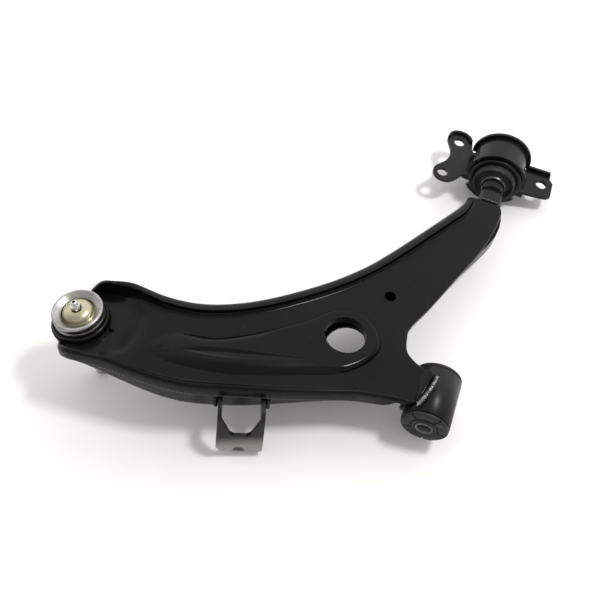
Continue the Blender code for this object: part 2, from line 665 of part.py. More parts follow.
lower_top = EAR_TOP - CLAMP_SHEET - GAP
lower_profile = [(x, -z) for x, z in clamp_profile(CLAMP_SHEET - lower_top, -lower_top)]
rear_strap_lower = prism("rear_strap_lower", to_y(lower_profile), -CLAMP_HALF, CLAMP_HALF, PAINT,
                         REAR_AT, ALONG_Y)
add_rims(rear_strap_lower, "lower", 218.0, 322.0, FOOT_REACH)
smooth(rear_strap_lower, 35.0)


# ---------------------------------------------------------------- stabiliser-link bracket
link_start = Vector(LINK_A)
link_along = (Vector(LINK_B) - link_start).normalized()
link_out = Vector((link_along.y, -link_along.x))
link_width = (Vector(LINK_B) - link_start).length
link_at = (link_start.x, link_start.y, 0.0)
# In the bracket's own frame X runs along the wall, Y outward and Z up.
link_turn = Matrix(((link_along.x, link_out.x, 0, 0), (link_along.y, link_out.y, 0, 0),
                    (0, 0, 1, 0), (0, 0, 0, 1)))
reach = LINK_REACH
side_line = [(0.4, 1.0), (reach - 15.0, 1.0), (reach - 10.0, -1.2), (reach - 7.4, -6.0),
             (reach - 3.2, -17.0), (reach - 0.8, -26.0), (reach, -32.0), (reach - 0.4, -37.0),
             (reach - 1.7, -41.0), (reach - 3.8, LINK_BOTTOM)]
inner_line = [(reach - 5.6, LINK_BOTTOM + 1.6), (reach - 4.6, -40.2), (reach - 3.4, -36.6),
              (reach - 3.0, -32.0), (reach - 3.8, -26.4), (reach - 6.2, -17.6),
              (reach - 10.2, -6.8), (reach - 11.6, -3.2), (reach - 15.0, -2.0), (0.4, -2.0)]


def across_link(name, points, x_values, cutter=True):
    """Skin a (y, z) section of the bracket between stations along the wall."""
    rows = [[(x, y, z) for y, z in points] for x in x_values]
    return place(name, loft(name, rows), PAINT, link_at, link_turn, cutter)


def through_link(name, points):
    """Cutter that runs outward through the bracket from an (x, z) outline."""
    rows = [[(x, y, z) for x, z in points] for y in (-8.0, reach + 6.0)]
    return place(name, loft(name, rows), None, link_at, link_turn, cutter=True)


stab_bracket = across_link("stab_bracket", side_line + inner_line,
                           [link_width * i / 3 for i in range(4)], cutter=False)
leg_line = side_line[:-2] + [(reach - 5.0, -36.0), (reach - 10.0, -24.0), (reach - 15.0, -15.0),
                             (0.4, -13.0)]
for i, x in enumerate((0.0, link_width - SHEET)):
    boolean(stab_bracket, across_link("leg_%d" % i, leg_line, (x, x + SHEET)), "UNION")
window_left = SHEET + 0.01
window_right = link_width - SHEET - 0.01
boolean(stab_bracket, through_link("link_window", [
    (window_left, 8.0), (window_left, -4.0), (link_width * 0.28, -16.4), (link_width * 0.37, -18.2),
    (link_width * 0.63, -18.2), (link_width * 0.72, -16.4), (window_right, -4.0), (window_right, 8.0)]))
hole_at = link_start + link_along * link_width / 2 + link_out * (reach - 2.0)
boolean(stab_bracket, rod_cutter("link_hole", 4.6, -14.0, 14.0, (hole_at.x, hole_at.y, -34.8),
                                 link_turn @ Matrix.Rotation(math.radians(-96.0), 4, "X"), steps=24))
boolean(stab_bracket, through_link("link_corner_left", [(-1, -47), (8, -47), (-1, -30)]))
boolean(stab_bracket, through_link("link_corner_right", [
    (link_width - 7, -47), (link_width + 1, -47), (link_width + 1, -36)]))
smooth(stab_bracket, 40.0)
for side, x in (("left", -1.9), ("right", link_width + 1.9)):
    foot = link_start + link_along * x + link_out * 1.8
    bead("link_weld_" + side, [(foot.x, foot.y, -0.5 - 2.2 * i) for i in range(7)], 1.3, PAINT,
         0.14, 3.0)


# ---------------------------------------------------------------- ball joint
turned("pad_collar", [(19.2, 7.9), (19.2, PAD_W + GAP), (21.7, PAD_W + GAP), (21.6, 7.0), (20.9, 7.9)],
       PAINT, BALL_CENTRE, BALL_TURN)
turned("ball_housing", [
    (12.7, 13.3), (12.9, 13.9), (14.4, 15.0), (16.2, 16.3), (17.4, 17.0), (18.6, 16.8), (19.3, 15.8),
    (19.3, 12.4), (18.9, 12.0), (18.9, 11.4), (19.3, 11.0), (19.3, 8.4), (18.9, 8.1), (18.9, -6.6),
    (17.9, -7.2), (17.9, -10.2), (18.7, -10.8), (18.7, -12.6), (13.4, -12.6), (12.2, -8.6),
    (16.0, -8.6), (16.0, 13.3)], STEEL, BALL_CENTRE, BALL_TURN)
turned("ball_cap", [
    (15.7, 13.0), (12.2, 13.0), (12.0, 13.9), (11.4, 14.2), (10.6, 13.7), (9.9, 14.2), (9.3, 15.6),
    (8.0, 17.3), (6.0, 18.4), (3.3, 19.0), (3.3, 17.9), (5.4, 17.4), (7.0, 16.4), (8.1, 14.9),
    (8.9, 13.2), (10.0, 12.3), (15.7, 12.3)], CHROMATE, BALL_CENTRE, BALL_TURN)
hexagon = [(3.7 * math.cos(math.radians(60 * i)), 3.7 * math.sin(math.radians(60 * i))) for i in range(6)]
grease_nipple = turned("grease_nipple", [
    (1.0, 26.4), (1.7, 26.2), (2.7, 25.2), (2.7, 24.6), (1.9, 23.8), (1.9, 22.8), (2.8, 22.0),
    (3.0, 21.4), (3.0, 16.2), (1.0, 16.2)], STEEL, BALL_CENTRE, BALL_TURN, 20)
nipple_hex = prism("nipple_hex", hexagon, 19.35, 21.9, None, BALL_CENTRE, BALL_TURN, cutter=True)
nipple_bore = rod_cutter("nipple_bore", 1.2, 10.0, 40.0, BALL_CENTRE, BALL_TURN, steps=16)
boolean(grease_nipple, nipple_hex, "UNION")
boolean(grease_nipple, nipple_bore)
turned("upper_seat", [
    (15.7, 11.1), (15.7, 0.4), (13.8, 0.4), (13.6, 2.6), (13.0, 4.8), (12.0, 7.0), (10.6, 9.0),
    (9.5, 10.1), (9.7, 11.1)], PLASTIC, BALL_CENTRE, BALL_TURN)
turned("preload_spring", [(15.3, 11.4), (15.3, 11.8), (10.6, 12.0), (10.6, 11.6)], STEEL,
       BALL_CENTRE, BALL_TURN)
turned("lower_seat", [
    (13.8, 0.0), (13.6, -2.4), (13.0, -4.6), (12.2, -6.4), (11.3, -8.2), (15.7, -8.2), (15.7, 0.0)],
    PLASTIC, BALL_CENTRE, BALL_TURN)

ball = [(0.0, BALL_R)] + [(BALL_R * math.cos(math.radians(e)), BALL_R * math.sin(math.radians(e)))
                          for e in range(75, -61, -15)]
stud_profile = ball + [(6.5, -12.4), (6.5, -23.0), (8.4, -24.2), (8.6, -25.4), (8.6, -29.0), (9.2, -30.2),
                       (7.6, -46.0), (6.0, -47.2), (6.0, -61.35), (5.0, -62.35), (0.0, -62.35)]
ball_stud = turned("ball_stud", stud_profile, STEEL, BALL_CENTRE, BALL_TURN, 32, ring=False)
boolean(ball_stud, prism("cut_cotter", disc_outline(1.6, 16), -12.0, 12.0, None,
                         (Vector(BALL_CENTRE) + BALL_TURN.to_3x3() @ Vector((0, 0, -55.0))),
                         BALL_TURN @ Matrix.Rotation(math.radians(90.0), 4, "Y"), cutter=True))

turned("dust_boot", [
    (19.2, -7.5), (20.9, -10.6), (22.2, -14.4), (21.2, -18.0), (17.0, -21.4), (15.2, -24.0),
    (10.9, -25.6), (10.9, -28.6), (9.2, -28.8), (9.2, -24.6), (13.6, -22.6), (15.0, -20.2),
    (19.4, -16.8), (20.2, -14.4), (18.8, -13.3), (19.1, -12.0), (19.0, -10.3), (18.2, -9.9),
    (18.2, -7.5)],
    RUBBER, BALL_CENTRE, BALL_TURN)
turned("boot_ring_large", [
    (22.0, -8.7), (22.2, -9.3), (22.0, -9.9), (21.1, -10.0), (21.0, -9.3), (21.1, -8.7)],
    STEEL, BALL_CENTRE, BALL_TURN)
turned("boot_ring_small", [(12.2, -26.6), (12.4, -27.3), (12.2, -28.0), (11.3, -28.0), (11.2, -27.3),
                           (11.3, -26.6)], STEEL, BALL_CENTRE, BALL_TURN)
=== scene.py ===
"""Looks of the control arm lying on a floor.

Every node of the frame is rebuilt finer at its own place and painted; all but the dust boot ride their
bodies.
Lengths are in mm in the frame of the face plate until the pieces are placed.
"""

import json
import math

import bmesh
import bpy
from mathutils import Matrix, Vector

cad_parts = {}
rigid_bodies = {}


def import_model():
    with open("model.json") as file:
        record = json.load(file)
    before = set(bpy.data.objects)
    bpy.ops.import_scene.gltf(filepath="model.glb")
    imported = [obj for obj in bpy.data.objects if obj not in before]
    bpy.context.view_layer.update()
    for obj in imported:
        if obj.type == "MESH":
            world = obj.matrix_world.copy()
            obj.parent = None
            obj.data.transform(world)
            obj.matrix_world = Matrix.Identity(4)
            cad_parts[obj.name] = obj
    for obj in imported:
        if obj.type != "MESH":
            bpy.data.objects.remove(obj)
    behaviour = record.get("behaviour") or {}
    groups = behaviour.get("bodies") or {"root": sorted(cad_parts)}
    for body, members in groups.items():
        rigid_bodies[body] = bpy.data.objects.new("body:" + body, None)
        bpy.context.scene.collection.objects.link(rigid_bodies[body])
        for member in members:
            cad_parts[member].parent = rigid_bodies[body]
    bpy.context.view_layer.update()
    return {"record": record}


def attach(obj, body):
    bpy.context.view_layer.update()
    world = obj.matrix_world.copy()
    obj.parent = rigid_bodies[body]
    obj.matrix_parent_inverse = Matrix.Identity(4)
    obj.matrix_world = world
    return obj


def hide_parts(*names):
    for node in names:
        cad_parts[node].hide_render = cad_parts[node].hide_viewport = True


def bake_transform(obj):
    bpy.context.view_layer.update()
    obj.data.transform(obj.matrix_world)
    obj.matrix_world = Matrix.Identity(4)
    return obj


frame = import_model()

MM = 0.001
GAP = 0.3

# Attitude and place of the plate frame in the lying arm.
REST_LEAN = 7.0
REST_SHIFT = (116.71, -102.64, 29.23)

# Pressed shells.
SHEET = 3.0
PLATE_TOP = 15.0
BACK_INSET = SHEET + GAP
PIN_SEAM_Y = 196.0
BIG_HOLE_R = 15.7
BIG_HOLE_AT = (-77.0, 11.0, 0.0)
DATUM_HOLE_R = 4.6
DATUM_HOLE_AT = (-55.0, 62.0, 0.0)

# Front bush, on the pivot axis.
FRONT_Y = -6.4
TUBE_R = 18.3
TUBE_WALL = 3.0
TUBE_HALF = 20.2
SLEEVE_R = 7.0
SLEEVE_BORE = 5.0
SLEEVE_HALF = 24.6

# Rear bush and its clamp, on the pivot axis.
REAR_Y = 257.0
CLAMP_HALF = 15.8
CLAMP_R = 21.4
CLAMP_SHEET = 2.8
EAR_TOP = -6.0
CLAMP_FOOT = 29.0
RIM_REACH = 3.4
RIM_WIDTH = 2.6
FOOT_REACH = 5.04
EAR_HOLE_R = 4.9

# Ball joint: the stud axis leans outboard on the cap side.
BALL_CENTRE = (-265.0, -47.0, 1.0)
BALL_LEAN = 10.0
BALL_R = 13.5
PAD_W = 4.0

# Stabiliser-link bracket on the near wall.
LINK_A = (-148.4, -62.8)
LINK_B = (-115.8, -51.2)
LINK_REACH = 27.0
LINK_BOTTOM = -43.2
LINK_HOLE_R = 4.6

# Steps round a turned piece or a large hole.
ROUND = 96


parts = bpy.data.collections.new("looks")
cutters = bpy.data.collections.new("cutters")
bpy.context.scene.collection.children.link(parts)
bpy.context.scene.collection.children.link(cutters)
rest_pose = bpy.data.objects.new("rest_pose", None)
parts.objects.link(rest_pose)
rest_pose.rotation_euler = (0.0, math.radians(REST_LEAN), 0.0)
rest_pose.location = [v * MM for v in REST_SHIFT]


def place(name, mesh, look, at=(0, 0, 0), turn=None, cutter=False):
    """Link a mesh as a named object whose origin is at a point of the plate frame, in mm."""
    ob = bpy.data.objects.new("fine_" + name, mesh)
    (cutters if cutter else parts).objects.link(ob)
    ob.parent = rest_pose
    matrix = Matrix.Translation(Vector(at) * MM)
    if turn is not None:
        matrix = matrix @ turn
    ob.matrix_local = matrix
    if cutter:
        ob.hide_render = True
        ob.display_type = "WIRE"
    else:
        mesh.materials.append(look)
    return ob


def smooth(ob, angle=32.0):
    ob.data.shade_smooth()
    ob.data.set_sharp_from_angle(angle=math.radians(angle))
    return ob


def boolean(ob, other, operation="DIFFERENCE"):
    mod = ob.modifiers.new(other.name, "BOOLEAN")
    mod.operation = operation
    mod.solver = "EXACT"
    mod.object = other


def new_mesh(name, verts, faces):
    mesh = bpy.data.meshes.new(name)
    mesh.from_pydata([Vector(v) * MM for v in verts], [], faces)
    return mesh


def outward(mesh):
    bm = bmesh.new()
    bm.from_mesh(mesh)
    bmesh.ops.recalc_face_normals(bm, faces=bm.faces)
    bm.to_mesh(mesh)
    bm.free()
    return mesh


def loft(name, rows):
    """Skin between closed sections that all have the same number of points."""
    count = len(rows[0])
    verts = [p for row in rows for p in row]
    faces = []
    for i in range(len(rows) - 1):
        a = i * count
        b = a + count
        for j in range(count):
            k = (j + 1) % count
            faces.append((a + j, a + k, b + k, b + j))
    faces.append(tuple(range(count))[::-1])
    faces.append(tuple(range(len(verts) - count, len(verts))))
    return outward(new_mesh(name, verts, faces))


def turned(name, profile, look, at=(0, 0, 0), turn=None, steps=ROUND, cutter=False, ring=True):
    """Turn a profile of (radius, height) points in mm about the object's own Z axis."""
    mesh = bpy.data.meshes.new(name)
    area = sum(a[0] * b[1] - b[0] * a[1] for a, b in zip(profile, profile[1:] + profile[:1]))
    if area > 0.0:
        profile = profile[::-1]
    verts = [(r * MM, 0.0, z * MM) for r, z in profile]
    edges = [(i, i + 1) for i in range(len(profile) - 1)]
    if ring:
        edges.append((len(profile) - 1, 0))
    mesh.from_pydata(verts, edges, [])
    ob = place(name, mesh, look, at, turn, cutter)
    mod = ob.modifiers.new("turn", "SCREW")
    mod.axis = "Z"
    mod.steps = steps
    mod.render_steps = steps
    mod.use_merge_vertices = True
    mod.merge_threshold = 0.00001
    mod.use_smooth_shade = True
    return ob


def prism(name, outline, low, high, look, at=(0, 0, 0), turn=None, cutter=False):
    """Straight-sided solid from an outline of (x, y) points in mm."""
    n = len(outline)
    verts = [(x, y, low) for x, y in outline] + [(x, y, high) for x, y in outline]
    faces = [tuple(range(n))[::-1], tuple(range(n, 2 * n))]
    for i in range(n):
        j = (i + 1) % n
        faces.append((i, j, n + j, n + i))
    return place(name, outward(new_mesh(name, verts, faces)), look, at, turn, cutter)


def disc_outline(radius, steps, centre=(0.0, 0.0)):
    out = []
    for i in range(steps):
        a = 2.0 * math.pi * i / steps
        out.append((centre[0] + radius * math.cos(a), centre[1] + radius * math.sin(a)))
    return out


def rod_cutter(name, radius, low, high, at, turn=None, steps=40):
    return prism(name, disc_outline(radius, steps), low, high, None, at, turn, cutter=True)


def arc(cx, cy, radius, a0, a1, steps):
    out = []
    for i in range(steps + 1):
        a = math.radians(a0 + (a1 - a0) * i / steps)
        out.append((cx + radius * math.cos(a), cy + radius * math.sin(a)))
    return out


# Weld beads: swelling of a ripple, its slant along the run, and the narrow ends.
WELD_SWELL = 2.2
WELD_SLANT = 0.35
WELD_END = 0.5


def weld_bead(name, path, radius, look, ripple=0.12, pitch=3.0, sides=12):
    """Weld bead: round sections along a path in mm, with the ripples of the weld pool."""
    points = [Vector(p) for p in path]
    dense = []
    for a, b in zip(points, points[1:]):
        steps = max(1, round((b - a).length / (pitch / 2)))
        dense += [a.lerp(b, i / steps) for i in range(steps)]
    dense.append(points[-1])
    rows = []
    side = None
    for i, p in enumerate(dense):
        along = (dense[min(i + 1, len(dense) - 1)] - dense[max(i - 1, 0)]).normalized()
        if side is None:
            side = along.orthogonal().normalized()
        else:
            side = (side - along * side.dot(along)).normalized()
        up = along.cross(side)
        swell = radius * (1.0 + WELD_SWELL * ripple * (1 if i % 2 else -1))
        if i in (0, len(dense) - 1):
            swell = radius * WELD_END
        ring = []
        for k in range(sides):
            a = 2.0 * math.pi * k / sides
            slant = along * radius * WELD_SLANT * math.sin(a * 2.0)
            ring.append(p + (side * math.cos(a) + up * math.sin(a)) * swell + slant)
        rows.append(ring)
    return smooth(place(name, loft(name, rows), look), 60.0)


# ---------------------------------------------------------------- materials
class Nodes:
    """Small helper around one material's node tree, in object coordinates (metres)."""

    def __init__(self, name):
        self.mat = bpy.data.materials.new(name)
        self.mat.use_nodes = True
        self.tree = self.mat.node_tree
        self.shader = self.tree.nodes["Principled BSDF"]
        self.coords = self.tree.nodes.new("ShaderNodeTexCoord").outputs["Object"]

    def add(self, kind, links=(), **settings):
        node = self.tree.nodes.new("ShaderNode" + kind)
        for key, value in settings.items():
            setattr(node, key, value)
        for socket, value in dict(links).items():
            if isinstance(value, bpy.types.NodeSocket):
                self.tree.links.new(value, node.inputs[socket])
            else:
                node.inputs[socket].default_value = value
        return node

    def noise(self, scale, detail=4.0, rough=0.55, stretch=None):
        at = self.coords
        if stretch is not None:
            at = self.add("Mapping", {"Vector": at, "Scale": stretch}).outputs["Vector"]
        links = {"Vector": at, "Scale": scale, "Detail": detail, "Roughness": rough}
        return self.add("TexNoise", links).outputs["Fac"]

    def ramp(self, value, low, high, a, b):
        links = {"Value": value, "From Min": low, "From Max": high, "To Min": a, "To Max": b}
        return self.add("MapRange", links).outputs["Result"]

    def mix(self, factor, a, b):
        node = self.tree.nodes.new("ShaderNodeMix")
        node.data_type = "RGBA"
        self.tree.links.new(factor, node.inputs["Factor"])
        for socket, value in ((node.inputs[6], a), (node.inputs[7], b)):
            if isinstance(value, bpy.types.NodeSocket):
                self.tree.links.new(value, socket)
            else:
                socket.default_value = (*value, 1.0)
        return node.outputs[2]

    def bump(self, height, strength, distance, under=None):
        links = {"Height": height, "Strength": strength, "Distance": distance}
        if under is not None:
            links["Normal"] = under
        return self.add("Bump", links).outputs["Normal"]

    def set(self, **values):
        for key, value in values.items():
            socket = self.shader.inputs[key.replace("_", " ")]
            if isinstance(value, bpy.types.NodeSocket):
                self.tree.links.new(value, socket)
            elif key == "Base_Color":
                socket.default_value = (*value, 1.0)
            else:
                socket.default_value = value
        return self.mat


DUST = (0.030, 0.029, 0.027)
SPECK = (0.10, 0.098, 0.095)
SCRATCH = (0.05, 0.05, 0.05)
# Pale colour of a painted reflection of the bright floor on low glossy faces.
PAINTED_FLOOR_REFLECTION = (0.27, 0.262, 0.24)
COARSE_PEEL = 0.000004
HEAVY_PEEL = 0.00001


def paint(name, colour, rough, dust, peel=0.0000025, gloss=0.5, pale=None):
    """Black electro-coat: slight orange peel, thin dust, hairline scratches.

    With pale, a pair of heights in metres, it carries a painted reflection of the floor: pale under the
    first and black over the second.
    """
    n = Nodes(name)
    cloud = n.noise(18.0, 5.0)
    specks = n.add("TexVoronoi", {"Vector": n.coords, "Scale": 160.0}).outputs["Distance"]
    speck = n.ramp(specks, 0.03, 0.06, 1.0, 0.0)
    lines = n.noise(60.0, 3.0, 0.6, (6.0, 0.35, 1.0))
    hair = n.ramp(lines, 0.70, 0.73, 0.0, 1.0)
    film = n.mix(n.ramp(cloud, 0.42, 0.75, 0.0, dust), colour, DUST)
    dusty = n.mix(n.ramp(speck, 0.0, 1.0, 0.0, 0.35), film, SPECK)
    scored = n.mix(n.ramp(hair, 0.0, 1.0, 0.0, 0.25), dusty, SCRATCH)
    # Painted reflection: under the given heights the paint is lightened as if it mirrored the floor.
    if pale is not None:
        height = n.add("SeparateXYZ", {"Vector": n.coords}).outputs["Z"]
        scored = n.mix(n.ramp(height, *pale, 0.9, 0.0), scored, PAINTED_FLOOR_REFLECTION)
    grain = n.bump(n.noise(900.0, 2.0), 0.35, peel * 4.0)
    waves = n.bump(n.noise(110.0, 2.0), 0.5, peel * 8.0, grain)
    return n.set(Base_Color=scored, Roughness=n.ramp(cloud, 0.3, 0.8, rough, rough + 0.16),
                 Normal=waves, Specular_IOR_Level=gloss)


def metal(name, colour, dark, rough, stretch=None, scale=240.0, relief=0.00002, patch=70.0):
    """Bare or plated steel with fine tool marks and dulled patches."""
    n = Nodes(name)
    patches = n.noise(patch, 5.0)
    marks = n.noise(scale, 4.0, 0.6, stretch)
    tone = n.mix(n.ramp(patches, 0.35, 0.68, 0.0, 0.75), colour, dark)
    marked = n.mix(n.ramp(marks, 0.55, 0.75, 0.0, 0.45), tone, dark)
    return n.set(Base_Color=marked, Metallic=1.0, Normal=n.bump(marks, 0.5, relief),
                 Roughness=n.ramp(patches, 0.3, 0.7, rough, rough + 0.2))


def rubber(name):
    """Moulded rubber with pale scuffs and a fine matt grain."""
    n = Nodes(name)
    scuff = n.ramp(n.noise(130.0, 6.0, 0.65), 0.52, 0.72, 0.0, 0.55)
    tone = n.mix(scuff, (0.010, 0.010, 0.010), (0.085, 0.082, 0.076))
    grain = n.bump(n.noise(1100.0, 3.0), 0.5, 0.00004)
    dents = n.bump(n.noise(160.0, 3.0), 0.5, 0.00012, grain)
    return n.set(Base_Color=tone, Roughness=n.ramp(n.noise(90.0), 0.3, 0.7, 0.55, 0.85), Normal=dents,
                 Specular_IOR_Level=0.45)


def plastic(name, colour):
    """Dull moulded plastic with a faint mottle."""
    n = Nodes(name)
    tone = n.mix(n.ramp(n.noise(120.0), 0.35, 0.7, 0.0, 0.5), colour, [c * 0.8 for c in colour])
    return n.set(Base_Color=tone, Roughness=n.ramp(n.noise(300.0), 0.3, 0.7, 0.4, 0.55),
                 Normal=n.bump(n.noise(700.0), 0.4, 0.00002))


PAINT_PLATE = paint("paint_plate", (0.0022, 0.0022, 0.0023), rough=0.12, dust=0.08, gloss=0.15)
# Less glossy copy of the plate paint for the back shell and the steep near faces: painted shade, so that
# they reflect less of the bright floor.
PAINT_SHADED_SIDE = paint("paint_side", (0.0025, 0.0025, 0.0025), rough=0.2, dust=0.10, peel=COARSE_PEEL,
                   gloss=0.11)
PAINT_DULL = paint("paint_dull", (0.004, 0.004, 0.0041), rough=0.18, dust=0.25, peel=COARSE_PEEL,
                   gloss=0.20)
# The stabiliser-link bracket carries a painted floor reflection on its lowest part, pale up to 16 mm and
# black from 26 mm.
PAINT_LINK = paint("paint_link", (0.004, 0.004, 0.0041), rough=0.18, dust=0.25, peel=COARSE_PEEL,
                   gloss=0.30, pale=(0.016, 0.026))
PAINT_TUBE = paint("paint_tube", (0.004, 0.004, 0.004), rough=0.26, dust=0.6, peel=HEAVY_PEEL,
                   gloss=0.18)
PAINT_WELD = paint("paint_weld", (0.006, 0.006, 0.006), rough=0.22, dust=0.2, peel=HEAVY_PEEL)
WELD = metal("bare_weld", (0.62, 0.62, 0.62), (0.04, 0.039, 0.038), rough=0.20, scale=520.0,
             relief=0.00025, patch=380.0)
RING = metal("zinc_ring", (0.46, 0.455, 0.44), (0.20, 0.19, 0.175), rough=0.24, stretch=(1.0, 1.0, 9.0))
BRIGHT = metal("bright_steel", (0.80, 0.80, 0.80), (0.45, 0.45, 0.44), rough=0.14)
DARK_STEEL = metal("spring_steel", (0.16, 0.16, 0.155), (0.06, 0.06, 0.058), rough=0.38)
CHROMATE = metal("chromate", (0.52, 0.49, 0.36), (0.30, 0.265, 0.16), rough=0.24)
RUBBER = rubber("rubber_black")
PLASTIC = plastic("seat_plastic", (0.75, 0.74, 0.68))

ALONG_Y = Matrix.Rotation(math.radians(-90.0), 4, "X")
AGAINST_Y = Matrix.Rotation(math.radians(90.0), 4, "X")
BALL_TURN = Matrix.Rotation(math.radians(-BALL_LEAN), 4, "Y")


# ---------------------------------------------------------------- pressed shells
# Outline of the arm seen square to the plate, once round from the ball-joint end of the near
# edge. Each point: x, y, rise of the rim crest, drop from the crest to the lip, rim style
# (0 a tight folded rim, 1 the broad rolled rim of the far edge), back-shell step outward.
OUTLINE = [
    (-261, -79, 7, 11, 0, 0), (-250, -78.5, 6.5, 11, 0, 0), (-236, -78, 5.5, 11, 0, 0),
    (-205, -77, 2.5, 10, 0, 0), (-175, -74, 1.5, 10, 0, 0), (-149, -66.5, 1, 10, 0, 0),
    (-110, -52.5, 0.5, 10, 0, 0), (-82, -41.5, 0.2, 10, 0, 0), (-57, -31.5, 0, 9.5, 0, 0),
    (-50, -29.3, 0, 4.2, 0, 0), (-37, -26.3, 0, 4.2, 0, 0), (-25, -24.2, 0, 4.2, 0, 0),
    (-17, -23.4, 0, 4.2, 0, 0), (-11.9, -20.5, 0, 4.2, 0, 0), (-9.1, -13, 0, 4.2, 0, 0),
    (-6.7, -4, 0, 4.2, 0, 0), (-6.1, 4, 0, 4.2, 0, 0), (-11, 9.2, 0, 4.2, 0, 0),
    (-20, 12.4, 0, 4.2, 0, 0), (-28.6, 19, 0, 5, 0, 0), (-32, 30, 0, 5, 0, 0), (-32, 42, 0, 5, 0, 0),
    (-22, 67, 0, 5, 0, 0), (-9.5, 102, 0, 5, 0, 0), (4, 140, 0, 5, 0, 3),
    (10, 165, 0, 5, 0, 6), (12, 182, 0, 5, 0, 5), (11.8, 190, 0, 4.2, 0, 3),
    (7.5, 195.6, 0, 4.2, 0, 0), (-4, PIN_SEAM_Y, 0, 4.2, 0, 0),
    (-14, 195.6, 0.3, 5, 0, 0), (-19.6, 192, 1.5, 7, 0.1, 0), (-21, 185, 3, 10, 0.5, 0),
    (-26.6, 173.4, 4, 12, 1, 0), (-35, 158.7, 4, 12, 1, 0), (-46.9, 138, 4, 12, 1, 0),
    (-64.8, 107.3, 4, 12, 1, 0), (-82, 81.1, 4, 12, 1, 0), (-104.7, 54.8, 4, 12, 1, 0),
    (-134.1, 27.8, 4.2, 12, 1, 0), (-158.6, 9.7, 4.8, 12, 1, 0), (-185.1, -3, 5.2, 12, 1, 0),
    (-211.6, -9.2, 7, 13, 0.8, 0), (-239.8, -10.6, 10, 16, 0.3, 0), (-253.5, -12.6, 12, 17, 0, 0),
    (-263, -15.2, 12.5, 17, 0, 0), (-269.5, -19.5, 7, 14, 0, 0), (-273.5, -27, 0, 4.2, 0, 0),
    (-275, -47, 0, 4.2, 0, 0), (-273.5, -68, 0, 4.2, 0, 0), (-269, -76, 4, 9, 0, 0)]
PER_SPAN = 6


def ramp(x, x0, x1):
    """Smooth step from 0 at x0 to 1 at x1."""
    f = min(1.0, max(0.0, (x - x0) / (x1 - x0)))
    return f * f * (3.0 - 2.0 * f)


def pad_height(x):
    """Top of the ball-joint pad, square to the leaning stud."""
    lean = math.radians(BALL_LEAN)
    return BALL_CENTRE[2] + PAD_W / math.cos(lean) + (x - BALL_CENTRE[0]) * math.tan(lean)


# The plate sinks a little towards the ball joint. The pad blends into it between two radii about
# the ball, with a shallow moat round the pad's edge.
SINK, SINK_FROM, SINK_TO = 1.5, 130.0, 215.0
PAD_R, PLATE_R = 33.0, 47.0
MOAT, MOAT_R, MOAT_WIDTH = 1.9, 42.0, 5.0


def plate_height(x, y):
    """Top of the face plate, with the leaning ball-joint pad and the tongue on the tube."""
    high = PLATE_TOP - SINK * ramp(-x, SINK_FROM, SINK_TO)
    pad = pad_height(x)
    from_ball = math.hypot(x - BALL_CENTRE[0], y - BALL_CENTRE[1])
    level = pad + (high - pad) * ramp(from_ball, PAD_R, PLATE_R)
    moat = MOAT * math.exp(-((from_ball - MOAT_R) / MOAT_WIDTH) ** 2)
    level -= moat * (1.0 - ramp(abs(y + 45.0), 14.0, 26.0))
    if x > -TUBE_R and abs(y) < 40.0:
        over_tube = math.sqrt((TUBE_R + GAP) ** 2 - min(x, 0.0) ** 2) + SHEET + 0.2
        level = max(level, over_tube)
    return level


# Back shell's floor: height by the ball joint, then changes of level as (amount, from, to).
FLOOR_START = -8.5
FLOOR_ALONG_X = ((-13.5, -272.0, -180.0), (13.0, -150.0, -62.0))
FLOOR_ALONG_Y = (-3.0, 120.0, 180.0)


def floor_height(x, y):
    """Outer face of the back shell's floor, deepest where the arm carries most bending."""
    level = FLOOR_START
    for amount, x0, x1 in FLOOR_ALONG_X:
        level += amount * ramp(x, x0, x1)
    amount, y0, y1 = FLOOR_ALONG_Y
    return level + amount * ramp(y, y0, y1)


def spline_point(p0, p1, p2, p3, f):
    """Point a share f of the way from p1 to p2 on the smooth curve through four points."""
    return tuple(
        0.5 * (2 * b + (c - a) * f + (2 * a - 5 * b + 4 * c - d) * f * f
               + (3 * b - a - 3 * c + d) * f ** 3)
        for a, b, c, d in zip(p0, p1, p2, p3))


def closed_curve(points, per):
    """Smooth closed curve through points of any number of values."""
    out = []
    for i in range(len(points)):
        span = [points[(i + k) % len(points)] for k in (-1, 0, 1, 2)]
        out += [spline_point(*span, s / per) for s in range(per)]
    return out


def soft_line(points, per):
    """Smooth open line through points of any number of values."""
    out = []
    last = len(points) - 1
    for i in range(last):
        span = [points[min(max(i + k, 0), last)] for k in (-1, 0, 1, 2)]
        out += [spline_point(*span, s / per) for s in range(per)]
    out.append(points[-1])
    return out


def inward_normals(points):
    """Normals on the left of an anticlockwise outline."""
    out = []
    n = len(points)
    for i in range(n):
        a, b = points[i - 1], points[(i + 1) % n]
        t = Vector((b[0] - a[0], b[1] - a[1])).normalized()
        out.append(Vector((-t.y, t.x)))
    return out


STRAIGHT_ROOM = 60.0


def corner_room(points):
    """How far each edge point can be drawn inward before the outline would fold on itself."""
    out = []
    n = len(points)
    for i in range(n):
        a, b, c = [Vector(points[(i + k) % n][:2]) for k in (-1, 0, 1)]
        cross = (b - a).cross(c - b)
        if cross <= 0.01:
            out.append(STRAIGHT_ROOM)
            continue
        out.append((b - a).length * (c - b).length * (c - a).length / (2.0 * cross))
    tight = [min(out[(i + k) % n] for k in range(-2, 3)) for i in range(n)]
    return [sum(tight[(i + k) % n] for k in range(-2, 3)) / 5.0 for i in range(n)]


def prepared(outline, per=PER_SPAN):
    """Every point of the smooth outline with its inward normal and the room inside it."""
    edge = closed_curve(outline, per)
    return list(zip(edge, inward_normals(edge), corner_room(edge)))


EDGE = prepared(OUTLINE)

